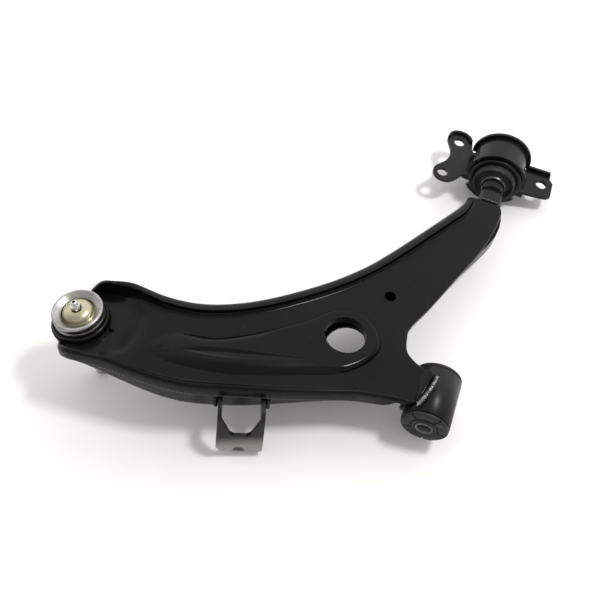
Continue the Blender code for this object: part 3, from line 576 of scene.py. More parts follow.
# The back shell stops short of the tube where the face plate carries its tongue.
BACK_NOTCH = [(-44, -27.8, 0, 0, 0, 0), (-31, -24.6, 0, 0, 0, 0), (-21.6, -18, 0, 0, 0, 0),
              (-17.4, -8, 0, 0, 0, 0), (-17.4, 2, 0, 0, 0, 0), (-20.4, 10.6, 0, 0, 0, 0),
              (-28.4, 19.6, 0, 0, 0, 0)]
BACK_EDGE = prepared(OUTLINE[:9] + BACK_NOTCH + OUTLINE[20:], 2)

# Lines across the sheets where they are cut, so that they follow their level surface.
BACK_X = [-270.0 + 6.0 * i for i in range(46)]
GRID_X = [-272.0 + 2.0 * i for i in range(40)] + [-190.0 + 6.0 * i for i in range(28)] + [
    -22.0 + 1.5 * i for i in range(14)]
GRID_Y = [-76.0 + 2.0 * i for i in range(32)]


def pressing(name, rings, height, grid_x, grid_y):
    """Closed sheet from nested rings: the first and last rings are filled, then levelled.

    A ring is a list of (x, y, z, on) points. Points with on = 1 are measured from the level
    surface, the others are fixed heights.
    """
    bm = bmesh.new()
    flag = bm.verts.layers.float.new("on")
    loops = []
    for ring in rings:
        loop = []
        for x, y, z, on in ring:
            v = bm.verts.new((x, y, z))
            v[flag] = on
            loop.append(v)
        loops.append(loop)
    n = len(loops[0])
    caps = [bm.faces.new(loops[0]), bm.faces.new(loops[-1][::-1])]
    for a, b in zip(loops, loops[1:]):
        for i in range(n):
            j = (i + 1) % n
            bm.faces.new((a[i], b[i], b[j], a[j]))
    bm.normal_update()
    bmesh.ops.triangulate(bm, faces=caps)
    cuts = [((x, 0, 0), (1, 0, 0)) for x in grid_x] + [((0, y, 0), (0, 1, 0)) for y in grid_y]
    for at, across in cuts:
        geom = bm.verts[:] + bm.edges[:] + bm.faces[:]
        bmesh.ops.bisect_plane(bm, geom=geom, dist=0.02, plane_co=at, plane_no=across)
    for v in bm.verts:
        if v[flag] > 0.5:
            v.co.z += height(v.co.x, v.co.y)
    bmesh.ops.recalc_face_normals(bm, faces=bm.faces)
    if bm.calc_volume(signed=True) < 0.0:
        bmesh.ops.reverse_faces(bm, faces=bm.faces)
    bmesh.ops.scale(bm, vec=(MM, MM, MM), verts=bm.verts)
    mesh = bpy.data.meshes.new(name)
    bm.to_mesh(mesh)
    bm.free()
    return mesh


# Section of the rim from the lip inward, for the tight and the broad style. The first number is the
# distance from the edge. The second is the height over the crest up to point CREST, and the share of
# the crest's rise beyond it.
TIGHT = soft_line([(0.0, -2.2), (0.8, -0.6), (2.2, 0.0), (3.4, 0.0), (4.0, 0.7), (4.7, 0.2),
                   (5.5, 0.0)], 3) + [(6.0, 0.0)]
BROAD = soft_line([(0.0, -4.6), (1.9, -2.0), (5.2, -0.5), (8.2, 0.0), (9.4, 0.55), (10.8, 0.12),
                   (13.0, 0.0)], 3) + [(13.9, 0.0)]
CREST = 9


def lip_height(rise, drop):
    """Height of the lip's edge over the plate: always a little under the sheet."""
    return min(max(0.0, rise) - drop, -SHEET - 1.0)


def rim_ring(tight_d, broad_d, heights):
    """One ring of the face plate, from the distances and heights of the tight and broad styles."""
    ring = []
    for (x, y, rise, drop, style, _), inward, room in EDGE:
        style = min(1.0, max(0.0, style))
        squeeze = min(1.0, 0.6 * room / (5.5 + 9.5 * style))
        tight_z, broad_z = heights(max(0.0, rise), lip_height(rise, drop))
        d = (tight_d + (broad_d - tight_d) * style) * squeeze
        z = tight_z + (broad_z - tight_z) * style
        ring.append((x + inward.x * d, y + inward.y * d, z, 1))
    return ring


def face_rings():
    """Rings from the middle of the plate out to the lip, and back in under the sheet."""
    section = list(zip(TIGHT, BROAD))
    rings = []
    for (d0, z0), (d1, z1) in section[:CREST:-1]:
        rings.append(rim_ring(d0, d1, lambda rise, lip: (rise * z0, rise * z1)))
    for (d0, z0), (d1, z1) in section[CREST::-1]:
        rings.append(rim_ring(d0, d1, lambda rise, lip: (rise + z0, rise + z1)))
    rings.append(rim_ring(TIGHT[0][0], BROAD[0][0], lambda rise, lip: (lip, lip)))
    rings.append(rim_ring(SHEET, SHEET, lambda rise, lip: (lip, lip)))
    rings.append(rim_ring(3.1, SHEET, lambda rise, lip: (-SHEET - 0.4, rise - 5.6)))
    rings.append(rim_ring(4.8, 12.0, lambda rise, lip: (-SHEET, -SHEET)))
    return rings


face_shell = place("face_shell", pressing("face_shell", face_rings(), plate_height, GRID_X, GRID_Y),
                   PAINT_PLATE)

# Rounded nose of the ball-joint pad.
nose = prism("pad_nose", disc_outline(22.8, 32), PAD_W - SHEET + 0.04, PAD_W - 0.04, None,
             BALL_CENTRE, BALL_TURN, cutter=True)
boolean(face_shell, nose, "UNION")

# Raised drop-shaped bead that runs out into a round land about the lightening hole.
BEAD = [(-210, -51), (-205, -42), (-193, -33), (-165, -25.5), (-135, -6.5), (-112, 10.5),
        (-99, 25), (-87, 34), (-72, 36), (-58, 29), (-49, 16), (-51, 2), (-61, -12),
        (-75, -23), (-92, -31), (-119, -43), (-148, -53.5), (-180, -59), (-202, -58.5)]
BEAD_EDGE = prepared(BEAD)
# Its section from the foot inward: distance and height over the plate.
BEAD_SHAPE = [(0.4, -1.5), (0.4, 0.05)] + soft_line([
    (0.7, 0.5), (1.6, 1.9), (2.9, 3.3), (4.3, 4.1), (6.0, 4.3)], 3)


def bead_rings():
    """Rings of the bead, wider on its near side and flatter towards the ball joint.

    The outline runs clockwise, so minus its normal points into the bead.
    """
    rings = []
    for d, z in BEAD_SHAPE[::-1]:
        ring = []
        for (x, y), inward, room in BEAD_EDGE:
            lower = ramp(-20.0 - y + 0.35 * (-90.0 - x), -12.0, 10.0)
            q = d * (0.75 + 1.15 * lower) * min(1.0, 0.5 * room / 6.0)
            px, py = x - inward.x * q, y - inward.y * q
            fade = 0.12 + 0.88 * ramp(px, -210.0, -160.0)
            ring.append((px, py, z * fade if z > 0.0 else z, 1))
        rings.append(ring)
    return rings


bead_mesh = pressing("bead_top", bead_rings(), plate_height, [x + 0.7 for x in BACK_X], [])
bead_top = place("bead_top", bead_mesh, None, cutter=True)
boolean(face_shell, bead_top, "UNION")

boolean(face_shell, rod_cutter("cut_big", BIG_HOLE_R, 5.0, 30.0, BIG_HOLE_AT, steps=ROUND))
boolean(face_shell, rod_cutter("cut_datum", DATUM_HOLE_R, 0.0, 30.0, DATUM_HOLE_AT, steps=48))
boolean(face_shell, rod_cutter("cut_pad_hole", 2.0, -6.0, 16.0, (-240.2, -49.0, 6.0), steps=16))
boolean(face_shell, rod_cutter("cut_pad", 19.3, -6.0, 12.0, BALL_CENTRE, BALL_TURN, steps=ROUND))
boolean(face_shell, rod_cutter("cut_collar", 22.0, PAD_W + 0.02, 40.0, BALL_CENTRE, BALL_TURN,
                               steps=ROUND))
boolean(face_shell, rod_cutter("cut_tube", TUBE_R + GAP, -60.0, 60.0, (0, 0, 0), ALONG_Y,
                               steps=ROUND))
pin_box = [(-10.8, 186.0), (10.8, 186.0), (10.8, 240.0), (-10.8, 240.0)]
boolean(face_shell, prism("pin_room_face", pin_box, -8.0, 12.05, None, cutter=True))
smooth(face_shell, 38.0)


def back_edge(inset):
    """The outline drawn in by a distance, less where the outline turns a tight corner."""
    out = []
    for (x, y, _, _, _, step), inward, room in BACK_EDGE:
        squeeze = min(1.0, max(0.25, (0.7 * room - BACK_INSET) / 7.6))
        d = BACK_INSET + (inset - BACK_INSET) * squeeze - step
        out.append((x + inward.x * d, y + inward.y * d))
    return out


def back_rings():
    """Rings of the back shell: its outer face from the floor to the wall's top, then the inner one."""
    outer = [(0.0, None), (0.0, 7.0), (1.2, 3.0), (3.6, 0.7), (7.0, 0.0)]
    inner = [(SHEET, None), (SHEET, 7.4), (7.6, SHEET)]
    rings = []
    for d, z in outer[::-1] + inner:
        ring = []
        for x, y in back_edge(BACK_INSET + d):
            if z is not None:
                ring.append((x, y, z, 1))
                continue
            under = plate_height(min(x, -24.0) if y < 40.0 else x, y) - SHEET - 0.5
            ring.append((x, y, min(under, 9.5), 0))
        rings.append(ring)
    return rings


back_shell = place("back_shell", pressing("back_shell", back_rings(), floor_height, BACK_X, []),
                   PAINT_SHADED_SIDE)
boolean(back_shell, rod_cutter("cut_back_big", 16.5, -30.0, 9.0, (-74.5, 21.0, 0.0), steps=ROUND))
boolean(back_shell, rod_cutter("cut_back_drain", 6.0, -30.0, 6.0, (-185.0, -40.0, 0.0), steps=48))
boolean(back_shell, rod_cutter("cut_back_ball", 25.0, -40.0, 0.6, BALL_CENTRE, BALL_TURN,
                               steps=ROUND))
boolean(back_shell, rod_cutter("cut_back_tube", TUBE_R + GAP, -60.0, 60.0, (0, 0, 0), ALONG_Y,
                               steps=ROUND))
boolean(back_shell, prism("pin_room_back", pin_box, -8.9, 14.0, None, cutter=True))
smooth(back_shell, 38.0)


# ---------------------------------------------------------------- seam welds
def lip_path(first, last):
    """Points just under the lip of the face shell, between two places on the outline."""
    path = []
    for i in range(first * PER_SPAN, last * PER_SPAN + 1):
        (x, y, rise, drop, _, _), inward, _ = EDGE[i]
        px, py = x + inward.x * 1.4, y + inward.y * 1.4
        low = plate_height(px, py) + lip_height(rise, drop)
        path.append((px, py, low - 1.9))
    return path


weld_bead("near_seam_weld", lip_path(2, 8), 1.35, PAINT_WELD, pitch=3.0)
weld_bead("far_seam_weld", lip_path(33, 43), 1.35, PAINT_WELD, pitch=3.0)


# ---------------------------------------------------------------- front bush
FRONT_AT = (0.0, FRONT_Y, 0.0)
turned("bush_tube", [(TUBE_R, TUBE_HALF - 0.5), (TUBE_R, 0.5 - TUBE_HALF), (TUBE_R - 0.5, -TUBE_HALF),
                     (TUBE_R - TUBE_WALL, -TUBE_HALF), (TUBE_R - TUBE_WALL, TUBE_HALF),
                     (TUBE_R - 0.5, TUBE_HALF)], PAINT_TUBE, FRONT_AT, ALONG_Y)

# One end of the rubber: a bulged outer face, a groove and a collar about the sleeve.
rubber_out = TUBE_R - TUBE_WALL - GAP
rubber_in = SLEEVE_R + GAP
rubber_end = [(rubber_out, 20.5), (17.3, 20.5), (17.9, 21.2), (17.9, 22.5), (17.2, 23.2),
              (11.0, 23.2), (10.2, 21.6), (9.7, 21.6), (9.5, 23.6), (7.9, 24.0), (rubber_in, 23.4)]
front_rubber = turned("front_rubber", rubber_end + [(r, -z) for r, z in reversed(rubber_end)],
                      RUBBER, FRONT_AT, ALONG_Y)
# Five shallow slots across the near face.
SLOT = [(-0.6, -4.2), (0.6, -4.2), (0.6, 4.2), (-0.6, 4.2)]
for i in range(5):
    angle = math.radians(28.0 + 72.0 * i)
    slot = prism("cut_slot_%d" % i, SLOT, 21.8, 25.0, None,
                 (14.8 * math.sin(angle), FRONT_Y, 14.8 * math.cos(angle)),
                 Matrix.Rotation(angle, 4, "Y") @ AGAINST_Y, cutter=True)
    boolean(front_rubber, slot)

turned("front_inner_sleeve", [(SLEEVE_R - 0.6, SLEEVE_HALF), (SLEEVE_R, SLEEVE_HALF - 0.6),
                              (SLEEVE_R, 0.6 - SLEEVE_HALF), (SLEEVE_R - 0.6, -SLEEVE_HALF),
                              (SLEEVE_BORE + 0.6, -SLEEVE_HALF), (SLEEVE_BORE, 0.6 - SLEEVE_HALF),
                              (SLEEVE_BORE, SLEEVE_HALF - 0.6), (SLEEVE_BORE + 0.6, SLEEVE_HALF)],
       DARK_STEEL, FRONT_AT, ALONG_Y)

# Weld run between the tongue of the face plate and the tube.
tube_weld_path = []
for i in range(16):
    f = i / 15.0
    x = -3.3 - 2.6 * f - 5.0 * f * f
    tube_weld_path.append((x, 3.0 - 27.0 * f, math.sqrt((TUBE_R + 2.5) ** 2 - x * x)))
weld_bead("tube_weld", tube_weld_path, 1.9, WELD, 0.14, 2.4)
weld_bead("tube_weld_lower", [(-18.6, -16.0 + 2.4 * i, -10.0) for i in range(11)], 1.9,
          PAINT_WELD, 0.14, 2.4)


# ---------------------------------------------------------------- rear pivot pin
PIN_SIDES = 24


def pin_section(y, half_w, low, high, roundness):
    """Rounded rectangle across the pin, from a square forging to a round shoulder."""
    out = []
    cz = (low + high) / 2.0
    half_h = (high - low) / 2.0
    for k in range(PIN_SIDES):
        a = 2.0 * math.pi * (k + 0.5) / PIN_SIDES
        c, s = math.cos(a), math.sin(a)
        box = max(abs(c), abs(s))
        x = half_w * (c / box * (1 - roundness) + c * roundness)
        z = half_h * (s / box * (1 - roundness) + s * roundness)
        out.append((x, y, cz + z))
    return out


pin_rows = [pin_section(y, w, lo, hi, r) for y, w, lo, hi, r in (
    (170.0, 6.4, -5.8, 9.5, 0.12), (172.0, 7.4, -7.6, 11.2, 0.10), (186.0, 8.2, -7.8, 11.5, 0.10),
    (196.0, 9.8, -8.2, 11.7, 0.10), (200.0, 10.4, -10.2, 12.0, 0.10), (213.0, 10.2, -10.6, 11.6, 0.12),
    (216.0, 9.8, -10.2, 11.0, 0.3), (219.0, 9.4, -9.7, 10.2, 0.8), (222.0, 9.8, -9.8, 9.8, 1.0),
    (224.5, 10.6, -10.6, 10.6, 1.0), (228.0, 11.0, -11.0, 11.0, 1.0), (229.8, 10.6, -10.6, 10.6, 1.0),
    (229.8, 8.0, -8.0, 8.0, 1.0), (284.2, 8.0, -8.0, 8.0, 1.0), (285.0, 7.2, -7.2, 7.2, 1.0))]
smooth(place("pivot_pin", loft("pivot_pin", pin_rows), PAINT_DULL), 30.0)
weld_bead("pin_weld", [(-8.6 + 1.72 * i, PIN_SEAM_Y + 1.9, 13.7) for i in range(11)], 1.35,
          PAINT_WELD, 0.15, 2.4)


# ---------------------------------------------------------------- rear bush and clamp
REAR_AT = (0.0, REAR_Y, 0.0)
turned("rear_inner_sleeve", [(10.8, 26.8), (11.2, 26.4), (11.2, -26.4), (10.8, -26.8), (8.9, -26.8),
                             (8.3, -26.2), (8.3, 26.2), (8.9, 26.8)], DARK_STEEL, REAR_AT, ALONG_Y)
turned("rear_rubber", [
    (18.6, 24.5), (19.2, 23.0), (19.2, -22.6), (18.8, -24.6), (17.8, -25.2), (17.0, -24.4),
    (16.4, -20.8), (13.2, -20.0), (12.6, -24.0), (11.5, -24.4), (11.5, 24.0), (12.4, 24.4),
    (13.4, 20.2), (16.4, 20.6)], RUBBER, REAR_AT, ALONG_Y)
turned("rear_outer_sleeve", [
    (20.7, 19.0), (21.1, 18.5), (21.1, -16.4), (23.4, -16.7), (24.2, -17.4), (24.2, -18.6), (23.4, -19.2),
    (19.9, -19.2), (19.5, -18.8), (19.5, 19.0)], PAINT_DULL, REAR_AT, ALONG_Y)

arch_in = CLAMP_R
arch_out = CLAMP_R + CLAMP_SHEET


def clamp_profile(join_z, gap_z):
    """Section of one clamp half across the pivot axis, as (x, z) points."""
    outer = arc(0, 0, arch_out, math.degrees(math.asin(join_z / arch_out)), 90, 12)
    inner = arc(0, 0, arch_in, math.degrees(math.asin(gap_z / arch_in)), 90, 12)
    right = [(CLAMP_FOOT, gap_z), (CLAMP_FOOT, join_z)] + outer
    left = [(-x, z) for x, z in reversed(right)]
    under = [(-x, z) for x, z in inner]
    over = [(x, z) for x, z in reversed(inner)]
    return right[:-1] + left + under[:-1] + over


def to_y(outline_x_z):
    """Turn an (x, z) outline so that a prism's thickness runs along the pivot axis."""
    return [(x, -z) for x, z in outline_x_z]


upper_profile = clamp_profile(EAR_TOP, EAR_TOP - CLAMP_SHEET)
rear_strap_upper = prism("rear_strap_upper", to_y(upper_profile), -CLAMP_HALF, CLAMP_HALF, PAINT_DULL,
                         REAR_AT, ALONG_Y)
RIM_EDGE = CLAMP_HALF + 0.1


def add_rims(strap, tag, a0, a1, reach):
    """Flared rims along both edges of a clamp half."""
    for side, y0 in (("front", -RIM_EDGE), ("back", RIM_EDGE - RIM_WIDTH)):
        rim_out = arc(0, 0, arch_out + reach, a0, a1, 19)
        rim_in = arc(0, 0, arch_out - 1.4, a1 + 2.0, a0 - 2.0, 19)
        rim = prism("rim_%s_%s" % (side, tag), to_y(rim_out + rim_in), y0, y0 + RIM_WIDTH, None, REAR_AT,
                    ALONG_Y, cutter=True)
        boolean(strap, rim, "UNION")


add_rims(rear_strap_upper, "upper", -4.0, 184.0, RIM_REACH)

# Ears: a two-hole lobe on the ball-joint side and a single-hole ear opposite.
EAR_LEFT = [(-26, -15), (-29, -16.5), (-31.5, -20.5), (-36, -27.5), (-42, -31.5), (-50, -31),
            (-55.5, -26), (-56.5, -19.5), (-53, -13), (-48.5, -7), (-46.2, 0), (-46.6, 8),
            (-49.5, 15.5), (-52.8, 22), (-53.2, 29), (-49.5, 34.5), (-43, 36.5), (-36, 35.5),
            (-30.5, 30.5), (-28.5, 24), (-27.5, 18), (-26, 15)]
EAR_RIGHT = [(26, 19.5), (50, 19.5), (50, 13), (53.6, 8), (53.6, -9), (50.5, -12), (38, -14), (26, -15)]
HOLES = [(-41.3, 23.0), (-47.5, -22.0), (43.2, 2.8)]

ears = (("left", closed_curve(EAR_LEFT, 2)), ("right", EAR_RIGHT))
for side, outline in ears:
    ear = prism("ear_" + side, outline, EAR_TOP - CLAMP_SHEET + 0.05, EAR_TOP - 0.05, None, REAR_AT,
                None, cutter=True)
    boolean(rear_strap_upper, ear, "UNION")
for i, (x, y) in enumerate(HOLES):
    hole = rod_cutter("ear_hole_%d" % i, EAR_HOLE_R, EAR_TOP - 9.0, EAR_TOP + 6.0,
                      (x, REAR_Y + y, 0.0), steps=48)
    boolean(rear_strap_upper, hole)
lip = prism("ear_lip", [(27.0, 16.7), (49.0, 16.7), (49.0, 19.3), (27.0, 19.3)], EAR_TOP - 0.7,
            EAR_TOP + 3.2, None, REAR_AT, None, cutter=True)
boolean(rear_strap_upper, lip, "UNION")
lip_rows = []
for x, y in closed_curve(EAR_LEFT, 2)[27:38]:
    inward = (Vector((-41.5, 25.0)) - Vector((x, y))).normalized()
    x0, y0 = x + inward.x * 0.3, y + inward.y * 0.3
    x1, y1 = x + inward.x * 2.6, y + inward.y * 2.6
    lip_rows.append([(x0, y0, EAR_TOP - 0.7), (x0, y0, EAR_TOP + 2.6), (x1, y1, EAR_TOP + 2.6),
                     (x1, y1, EAR_TOP - 0.7)])
left_rim = place("left_rim", loft("left_rim", lip_rows), None, REAR_AT, None, cutter=True)
boolean(rear_strap_upper, left_rim, "UNION")
smooth(rear_strap_upper, 35.0)

lower_top = EAR_TOP - CLAMP_SHEET - GAP
lower_profile = [(x, -z) for x, z in clamp_profile(CLAMP_SHEET - lower_top, -lower_top)]
rear_strap_lower = prism("rear_strap_lower", to_y(lower_profile), -CLAMP_HALF, CLAMP_HALF, PAINT_DULL,
                         REAR_AT, ALONG_Y)
add_rims(rear_strap_lower, "lower", 218.0, 322.0, FOOT_REACH)
smooth(rear_strap_lower, 35.0)


# ---------------------------------------------------------------- stabiliser-link bracket
link_start = Vector(LINK_A)
link_along = (Vector(LINK_B) - link_start).normalized()
link_out = Vector((link_along.y, -link_along.x))
link_width = (Vector(LINK_B) - link_start).length
link_at = (link_start.x, link_start.y, 0.0)
# In the bracket's own frame X runs along the wall, Y outward and Z up.
link_turn = Matrix(((link_along.x, link_out.x, 0, 0), (link_along.y, link_out.y, 0, 0),
                    (0, 0, 1, 0), (0, 0, 0, 1)))
reach = LINK_REACH
side_line = [(0.4, 1.0), (reach - 15.0, 1.0), (reach - 10.0, -1.2), (reach - 7.4, -6.0),
             (reach - 3.2, -17.0), (reach - 0.8, -26.0), (reach, -32.0), (reach - 0.4, -37.0),
             (reach - 1.7, -41.0), (reach - 3.8, LINK_BOTTOM)]
inner_line = [(reach - 5.6, LINK_BOTTOM + 1.6), (reach - 4.6, -40.2), (reach - 3.4, -36.6),
              (reach - 3.0, -32.0), (reach - 3.8, -26.4), (reach - 6.2, -17.6),
              (reach - 10.2, -6.8), (reach - 11.6, -3.2), (reach - 15.0, -2.0), (0.4, -2.0)]


def across_link(name, points, x_values, cutter=True):
    """Skin a (y, z) section of the bracket between stations along the wall."""
    rows = [[(x, y, z) for y, z in points] for x in x_values]
    return place(name, loft(name, rows), PAINT_LINK, link_at, link_turn, cutter)


def through_link(name, points):
    """Cutter that runs outward through the bracket from an (x, z) outline."""
    rows = [[(x, y, z) for x, z in points] for y in (-8.0, reach + 6.0)]
    return place(name, loft(name, rows), None, link_at, link_turn, cutter=True)


stab_bracket = across_link("stab_bracket", side_line + inner_line,
                           [link_width * i / 3 for i in range(4)], cutter=False)
leg_line = side_line[:-2] + [(reach - 5.0, -36.0), (reach - 10.0, -24.0), (reach - 15.0, -15.0),
                             (0.4, -13.0)]
for i, x in enumerate((0.0, link_width - SHEET)):
    boolean(stab_bracket, across_link("leg_%d" % i, leg_line, (x, x + SHEET)), "UNION")
window_left = SHEET + 0.01
window_right = link_width - SHEET - 0.01
boolean(stab_bracket, through_link("link_window", [
    (window_left, 8.0), (window_left, -4.0), (link_width * 0.28, -16.4), (link_width * 0.37, -18.2),
    (link_width * 0.63, -18.2), (link_width * 0.72, -16.4), (window_right, -4.0), (window_right, 8.0)]))
hole_at = link_start + link_along * link_width / 2 + link_out * (reach - 2.0)
boolean(stab_bracket, rod_cutter("link_hole", LINK_HOLE_R, -14.0, 14.0, (hole_at.x, hole_at.y, -34.8),
                                 link_turn @ Matrix.Rotation(math.radians(-96.0), 4, "X"), steps=48))
boolean(stab_bracket, through_link("link_corner_left", [(-1, -47), (8, -47), (-1, -30)]))
boolean(stab_bracket, through_link("link_corner_right", [
    (link_width - 7, -47), (link_width + 1, -47), (link_width + 1, -36)]))
smooth(stab_bracket, 40.0)
for side, x in (("left", -1.9), ("right", link_width + 1.9)):
    foot = link_start + link_along * x + link_out * 1.8
    weld_bead("link_weld_" + side, [(foot.x, foot.y, -0.5 - 2.2 * i) for i in range(7)], 1.3, PAINT_WELD,
         0.14, 2.2)


# ---------------------------------------------------------------- ball joint
turned("pad_collar", [(19.2, 7.9), (19.2, PAD_W + GAP), (21.7, PAD_W + GAP), (21.6, 7.0), (20.9, 7.9)],
       PAINT_DULL, BALL_CENTRE, BALL_TURN)
turned("ball_housing", [
    (12.7, 13.3), (12.9, 14.2), (13.5, 14.4), (13.9, 15.2), (14.8, 15.4), (15.2, 16.0), (16.6, 16.2),
    (17.0, 16.9), (18.3, 17.0), (19.1, 16.5), (19.3, 15.4),
    (19.3, 12.4), (18.9, 12.0), (18.9, 11.4), (19.3, 11.0), (19.3, 8.4), (18.9, 8.1), (18.9, -6.6),
    (17.9, -7.2), (17.9, -10.2), (18.7, -10.8), (18.7, -12.6), (13.4, -12.6), (12.2, -8.6),
    (16.0, -8.6), (16.0, 13.3)], RING, BALL_CENTRE, BALL_TURN)
turned("ball_cap", [
    (15.7, 13.0), (12.5, 13.0), (12.2, 13.5), (11.7, 13.7), (11.5, 14.3), (11.2, 15.3), (10.5, 16.4),
    (9.3, 17.5), (7.6, 18.4), (5.6, 18.95), (3.3, 19.1), (3.3, 18.2), (5.4, 18.0), (7.2, 17.4),
    (8.8, 16.4), (10.0, 15.0), (10.6, 13.4), (11.2, 12.3), (15.7, 12.3)],
    CHROMATE, BALL_CENTRE, BALL_TURN)
HEX_R = 3.7
hexagon = [(HEX_R * math.cos(math.radians(60 * i)), HEX_R * math.sin(math.radians(60 * i)))
           for i in range(6)]
grease_nipple = turned("grease_nipple", [
    (1.0, 26.4), (1.7, 26.2), (2.7, 25.2), (2.7, 24.6), (1.9, 23.8), (1.9, 22.8), (2.8, 22.0),
    (3.0, 21.4), (3.0, 16.2), (1.0, 16.2)], BRIGHT, BALL_CENTRE, BALL_TURN, 48)
nipple_hex = prism("nipple_hex", hexagon, 19.35, 21.9, None, BALL_CENTRE, BALL_TURN, cutter=True)
nipple_bore = rod_cutter("nipple_bore", 1.2, 10.0, 40.0, BALL_CENTRE, BALL_TURN, steps=16)
boolean(grease_nipple, nipple_hex, "UNION")
boolean(grease_nipple, nipple_bore)
turned("upper_seat", [
    (15.7, 11.1), (15.7, 0.4), (13.8, 0.4), (13.6, 2.6), (13.0, 4.8), (12.0, 7.0), (10.6, 9.0),
    (9.5, 10.1), (9.7, 11.1)], PLASTIC, BALL_CENTRE, BALL_TURN)
turned("preload_spring", [(15.3, 11.4), (15.3, 11.8), (10.6, 12.0), (10.6, 11.6)], DARK_STEEL,
       BALL_CENTRE, BALL_TURN)
turned("lower_seat", [
    (13.8, 0.0), (13.6, -2.4), (13.0, -4.6), (12.2, -6.4), (11.3, -8.2), (15.7, -8.2), (15.7, 0.0)],
    PLASTIC, BALL_CENTRE, BALL_TURN)

ball = [(0.0, BALL_R)] + [(BALL_R * math.cos(math.radians(e)), BALL_R * math.sin(math.radians(e)))
                          for e in range(75, -61, -15)]
stud_profile = ball + [
    (6.5, -12.4), (6.5, -23.0), (8.4, -24.2), (8.6, -25.4), (8.6, -29.0), (9.2, -30.2),
    (7.6, -46.0), (6.0, -47.2), (6.0, -61.35), (5.0, -62.35), (0.0, -62.35)]
ball_stud = turned("ball_stud", stud_profile, BRIGHT, BALL_CENTRE, BALL_TURN, ROUND, ring=False)
boolean(ball_stud, prism("cut_cotter", disc_outline(1.6, 16), -12.0, 12.0, None,
                         (Vector(BALL_CENTRE) + BALL_TURN.to_3x3() @ Vector((0, 0, -55.0))),
                         BALL_TURN @ Matrix.Rotation(math.radians(90.0), 4, "Y"), cutter=True))

turned("dust_boot", [
    (19.2, -7.5), (20.9, -10.6), (22.2, -14.4), (21.2, -18.0), (17.0, -21.4), (15.2, -24.0),
    (10.9, -25.6), (10.9, -28.6), (9.2, -28.8), (9.2, -24.6), (13.6, -22.6), (15.0, -20.2),
    (19.4, -16.8), (20.2, -14.4), (18.8, -13.3), (19.1, -12.0), (19.0, -10.3), (18.2, -9.9),
    (18.2, -7.5)],
    RUBBER, BALL_CENTRE, BALL_TURN)
turned("boot_ring_large", [
    (22.0, -8.7), (22.2, -9.3), (22.0, -9.9), (21.1, -10.0), (21.0, -9.3), (21.1, -8.7)],
    DARK_STEEL, BALL_CENTRE, BALL_TURN)
turned("boot_ring_small", [(12.2, -26.6), (12.4, -27.3), (12.2, -28.0), (11.3, -28.0), (11.2, -27.3),
                           (11.3, -26.6)], DARK_STEEL, BALL_CENTRE, BALL_TURN)


# ---------------------------------------------------------------- pieces over the frame
bodies = frame["record"]["behaviour"]["bodies"]
body_of_node = {node: body for body, nodes in bodies.items() for node in nodes}
bpy.context.view_layer.update()
graph = bpy.context.evaluated_depsgraph_get()
# Faces of the face plate steeper than this, and not turned to the far side, get the side paint, a less
# glossy copy of the plate paint that paints shade on them.
STEEP = 0.45
FAR_FACING = 0.2
shown = []
for ob in [o for o in parts.objects if o.type == "MESH"]:
    solid = ob.evaluated_get(graph)
    mesh = bpy.data.meshes.new_from_object(solid, depsgraph=graph)
    mesh.transform(ob.matrix_world)
    if ob.matrix_world.determinant() < 0.0:
        mesh.flip_normals()
    node = ob.name.removeprefix("fine_")
    if node == "face_shell":
        mesh.materials.append(PAINT_SHADED_SIDE)
        for face in mesh.polygons:
            face.material_index = 1 if face.normal.z < STEEP and face.normal.y < FAR_FACING else 0
    shown.append((node, bpy.data.objects.new(node + "_look", mesh)))
for ob in list(parts.objects) + list(cutters.objects):
    bpy.data.objects.remove(ob, do_unlink=True)
bpy.data.collections.remove(cutters)
for node, look in shown:
    parts.objects.link(look)
    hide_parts(node)
    if node == "dust_boot":
        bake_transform(look)
    else:
        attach(look, body_of_node[node])

# ---------------------------------------------------------------- floor, light and camera
FLOOR_HALF = 6.0
FLOOR_Z = -0.0005
floor_mesh = bpy.data.meshes.new("floor")
floor_mesh.from_pydata([(FLOOR_HALF * x, FLOOR_HALF * y, FLOOR_Z)
                        for x, y in ((-1, -1), (1, -1), (1, 1), (-1, 1))], [], [(0, 1, 2, 3)])
floor = bpy.data.objects.new("floor", floor_mesh)
bpy.context.scene.collection.objects.link(floor)
n = Nodes("floor_card")
pale = n.mix(n.ramp(n.noise(9.0, 3.0), 0.3, 0.7, 0.0, 1.0), (0.86, 0.855, 0.84), (0.84, 0.835, 0.82))
floor_mesh.materials.append(n.set(Base_Color=pale, Roughness=0.75))

# The eye, as fitted to the photo: direction from the target, distance in metres and the target.
AZIMUTH = math.radians(19.22)
ELEVATION = math.radians(53.35)
EYE_DISTANCE = 0.65547
EYE_TARGET = (-124.16, 50.41, 0.0)

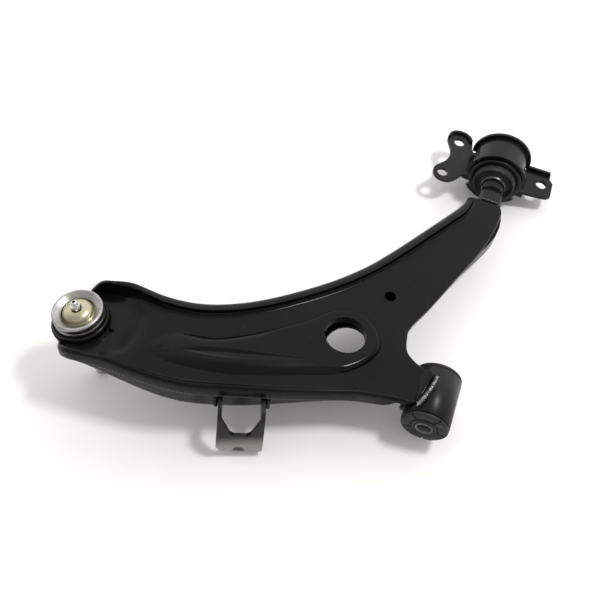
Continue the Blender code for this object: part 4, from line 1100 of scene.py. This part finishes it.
# The far side of the room is a white sweep and the near side is darker.
world = bpy.data.worlds.new("studio")
bpy.context.scene.world = world
world.use_nodes = True
sky = world.node_tree
background = sky.nodes["Background"]
background.inputs["Color"].default_value = (1.0, 0.99, 0.975, 1.0)
toward = sky.nodes.new("ShaderNodeVectorMath")
toward.operation = "DOT_PRODUCT"
toward.inputs[1].default_value = (-math.sin(AZIMUTH), math.cos(AZIMUTH), 0.0)
sky.links.new(sky.nodes.new("ShaderNodeTexCoord").outputs["Generated"], toward.inputs[0])
glow = sky.nodes.new("ShaderNodeMapRange")
for socket, value in (("From Min", -0.15), ("From Max", 0.55), ("To Min", 0.66), ("To Max", 1.42)):
    glow.inputs[socket].default_value = value
sky.links.new(toward.outputs["Value"], glow.inputs["Value"])
sky.links.new(glow.outputs["Result"], background.inputs["Strength"])


def lamp(name, at, size, power):
    """Square-cornered soft lamp that points at the origin."""
    light = bpy.data.lights.new(name, "AREA")
    light.shape = "RECTANGLE"
    light.size = size[0]
    light.size_y = size[1]
    light.energy = power
    ob = bpy.data.objects.new(name, light)
    bpy.context.scene.collection.objects.link(ob)
    ob.location = at
    ob.rotation_euler = (-Vector(at)).to_track_quat("-Z", "Y").to_euler()


lamp("overhead", (0.72, 0.12, 1.5), (0.26, 0.22), 14.0)
lamp("back_right", (1.5, 1.4, 1.6), (1.2, 1.0), 1.5)

back = Vector((math.sin(AZIMUTH) * math.cos(ELEVATION), -math.cos(AZIMUTH) * math.cos(ELEVATION),
               math.sin(ELEVATION)))
target = Vector([(shift + aim) * MM for shift, aim in zip(REST_SHIFT, EYE_TARGET)])
eye = bpy.data.cameras.new("eye")
eye.lens = 48.0
eye.sensor_width = 36.0
eye.clip_start = 0.01
camera = bpy.data.objects.new("eye", eye)
bpy.context.scene.collection.objects.link(camera)
camera.location = target + back * EYE_DISTANCE
camera.rotation_euler = (-back).to_track_quat("-Z", "Y").to_euler()
bpy.context.scene.camera = camera
bpy.context.scene.view_settings.view_transform = "Standard"
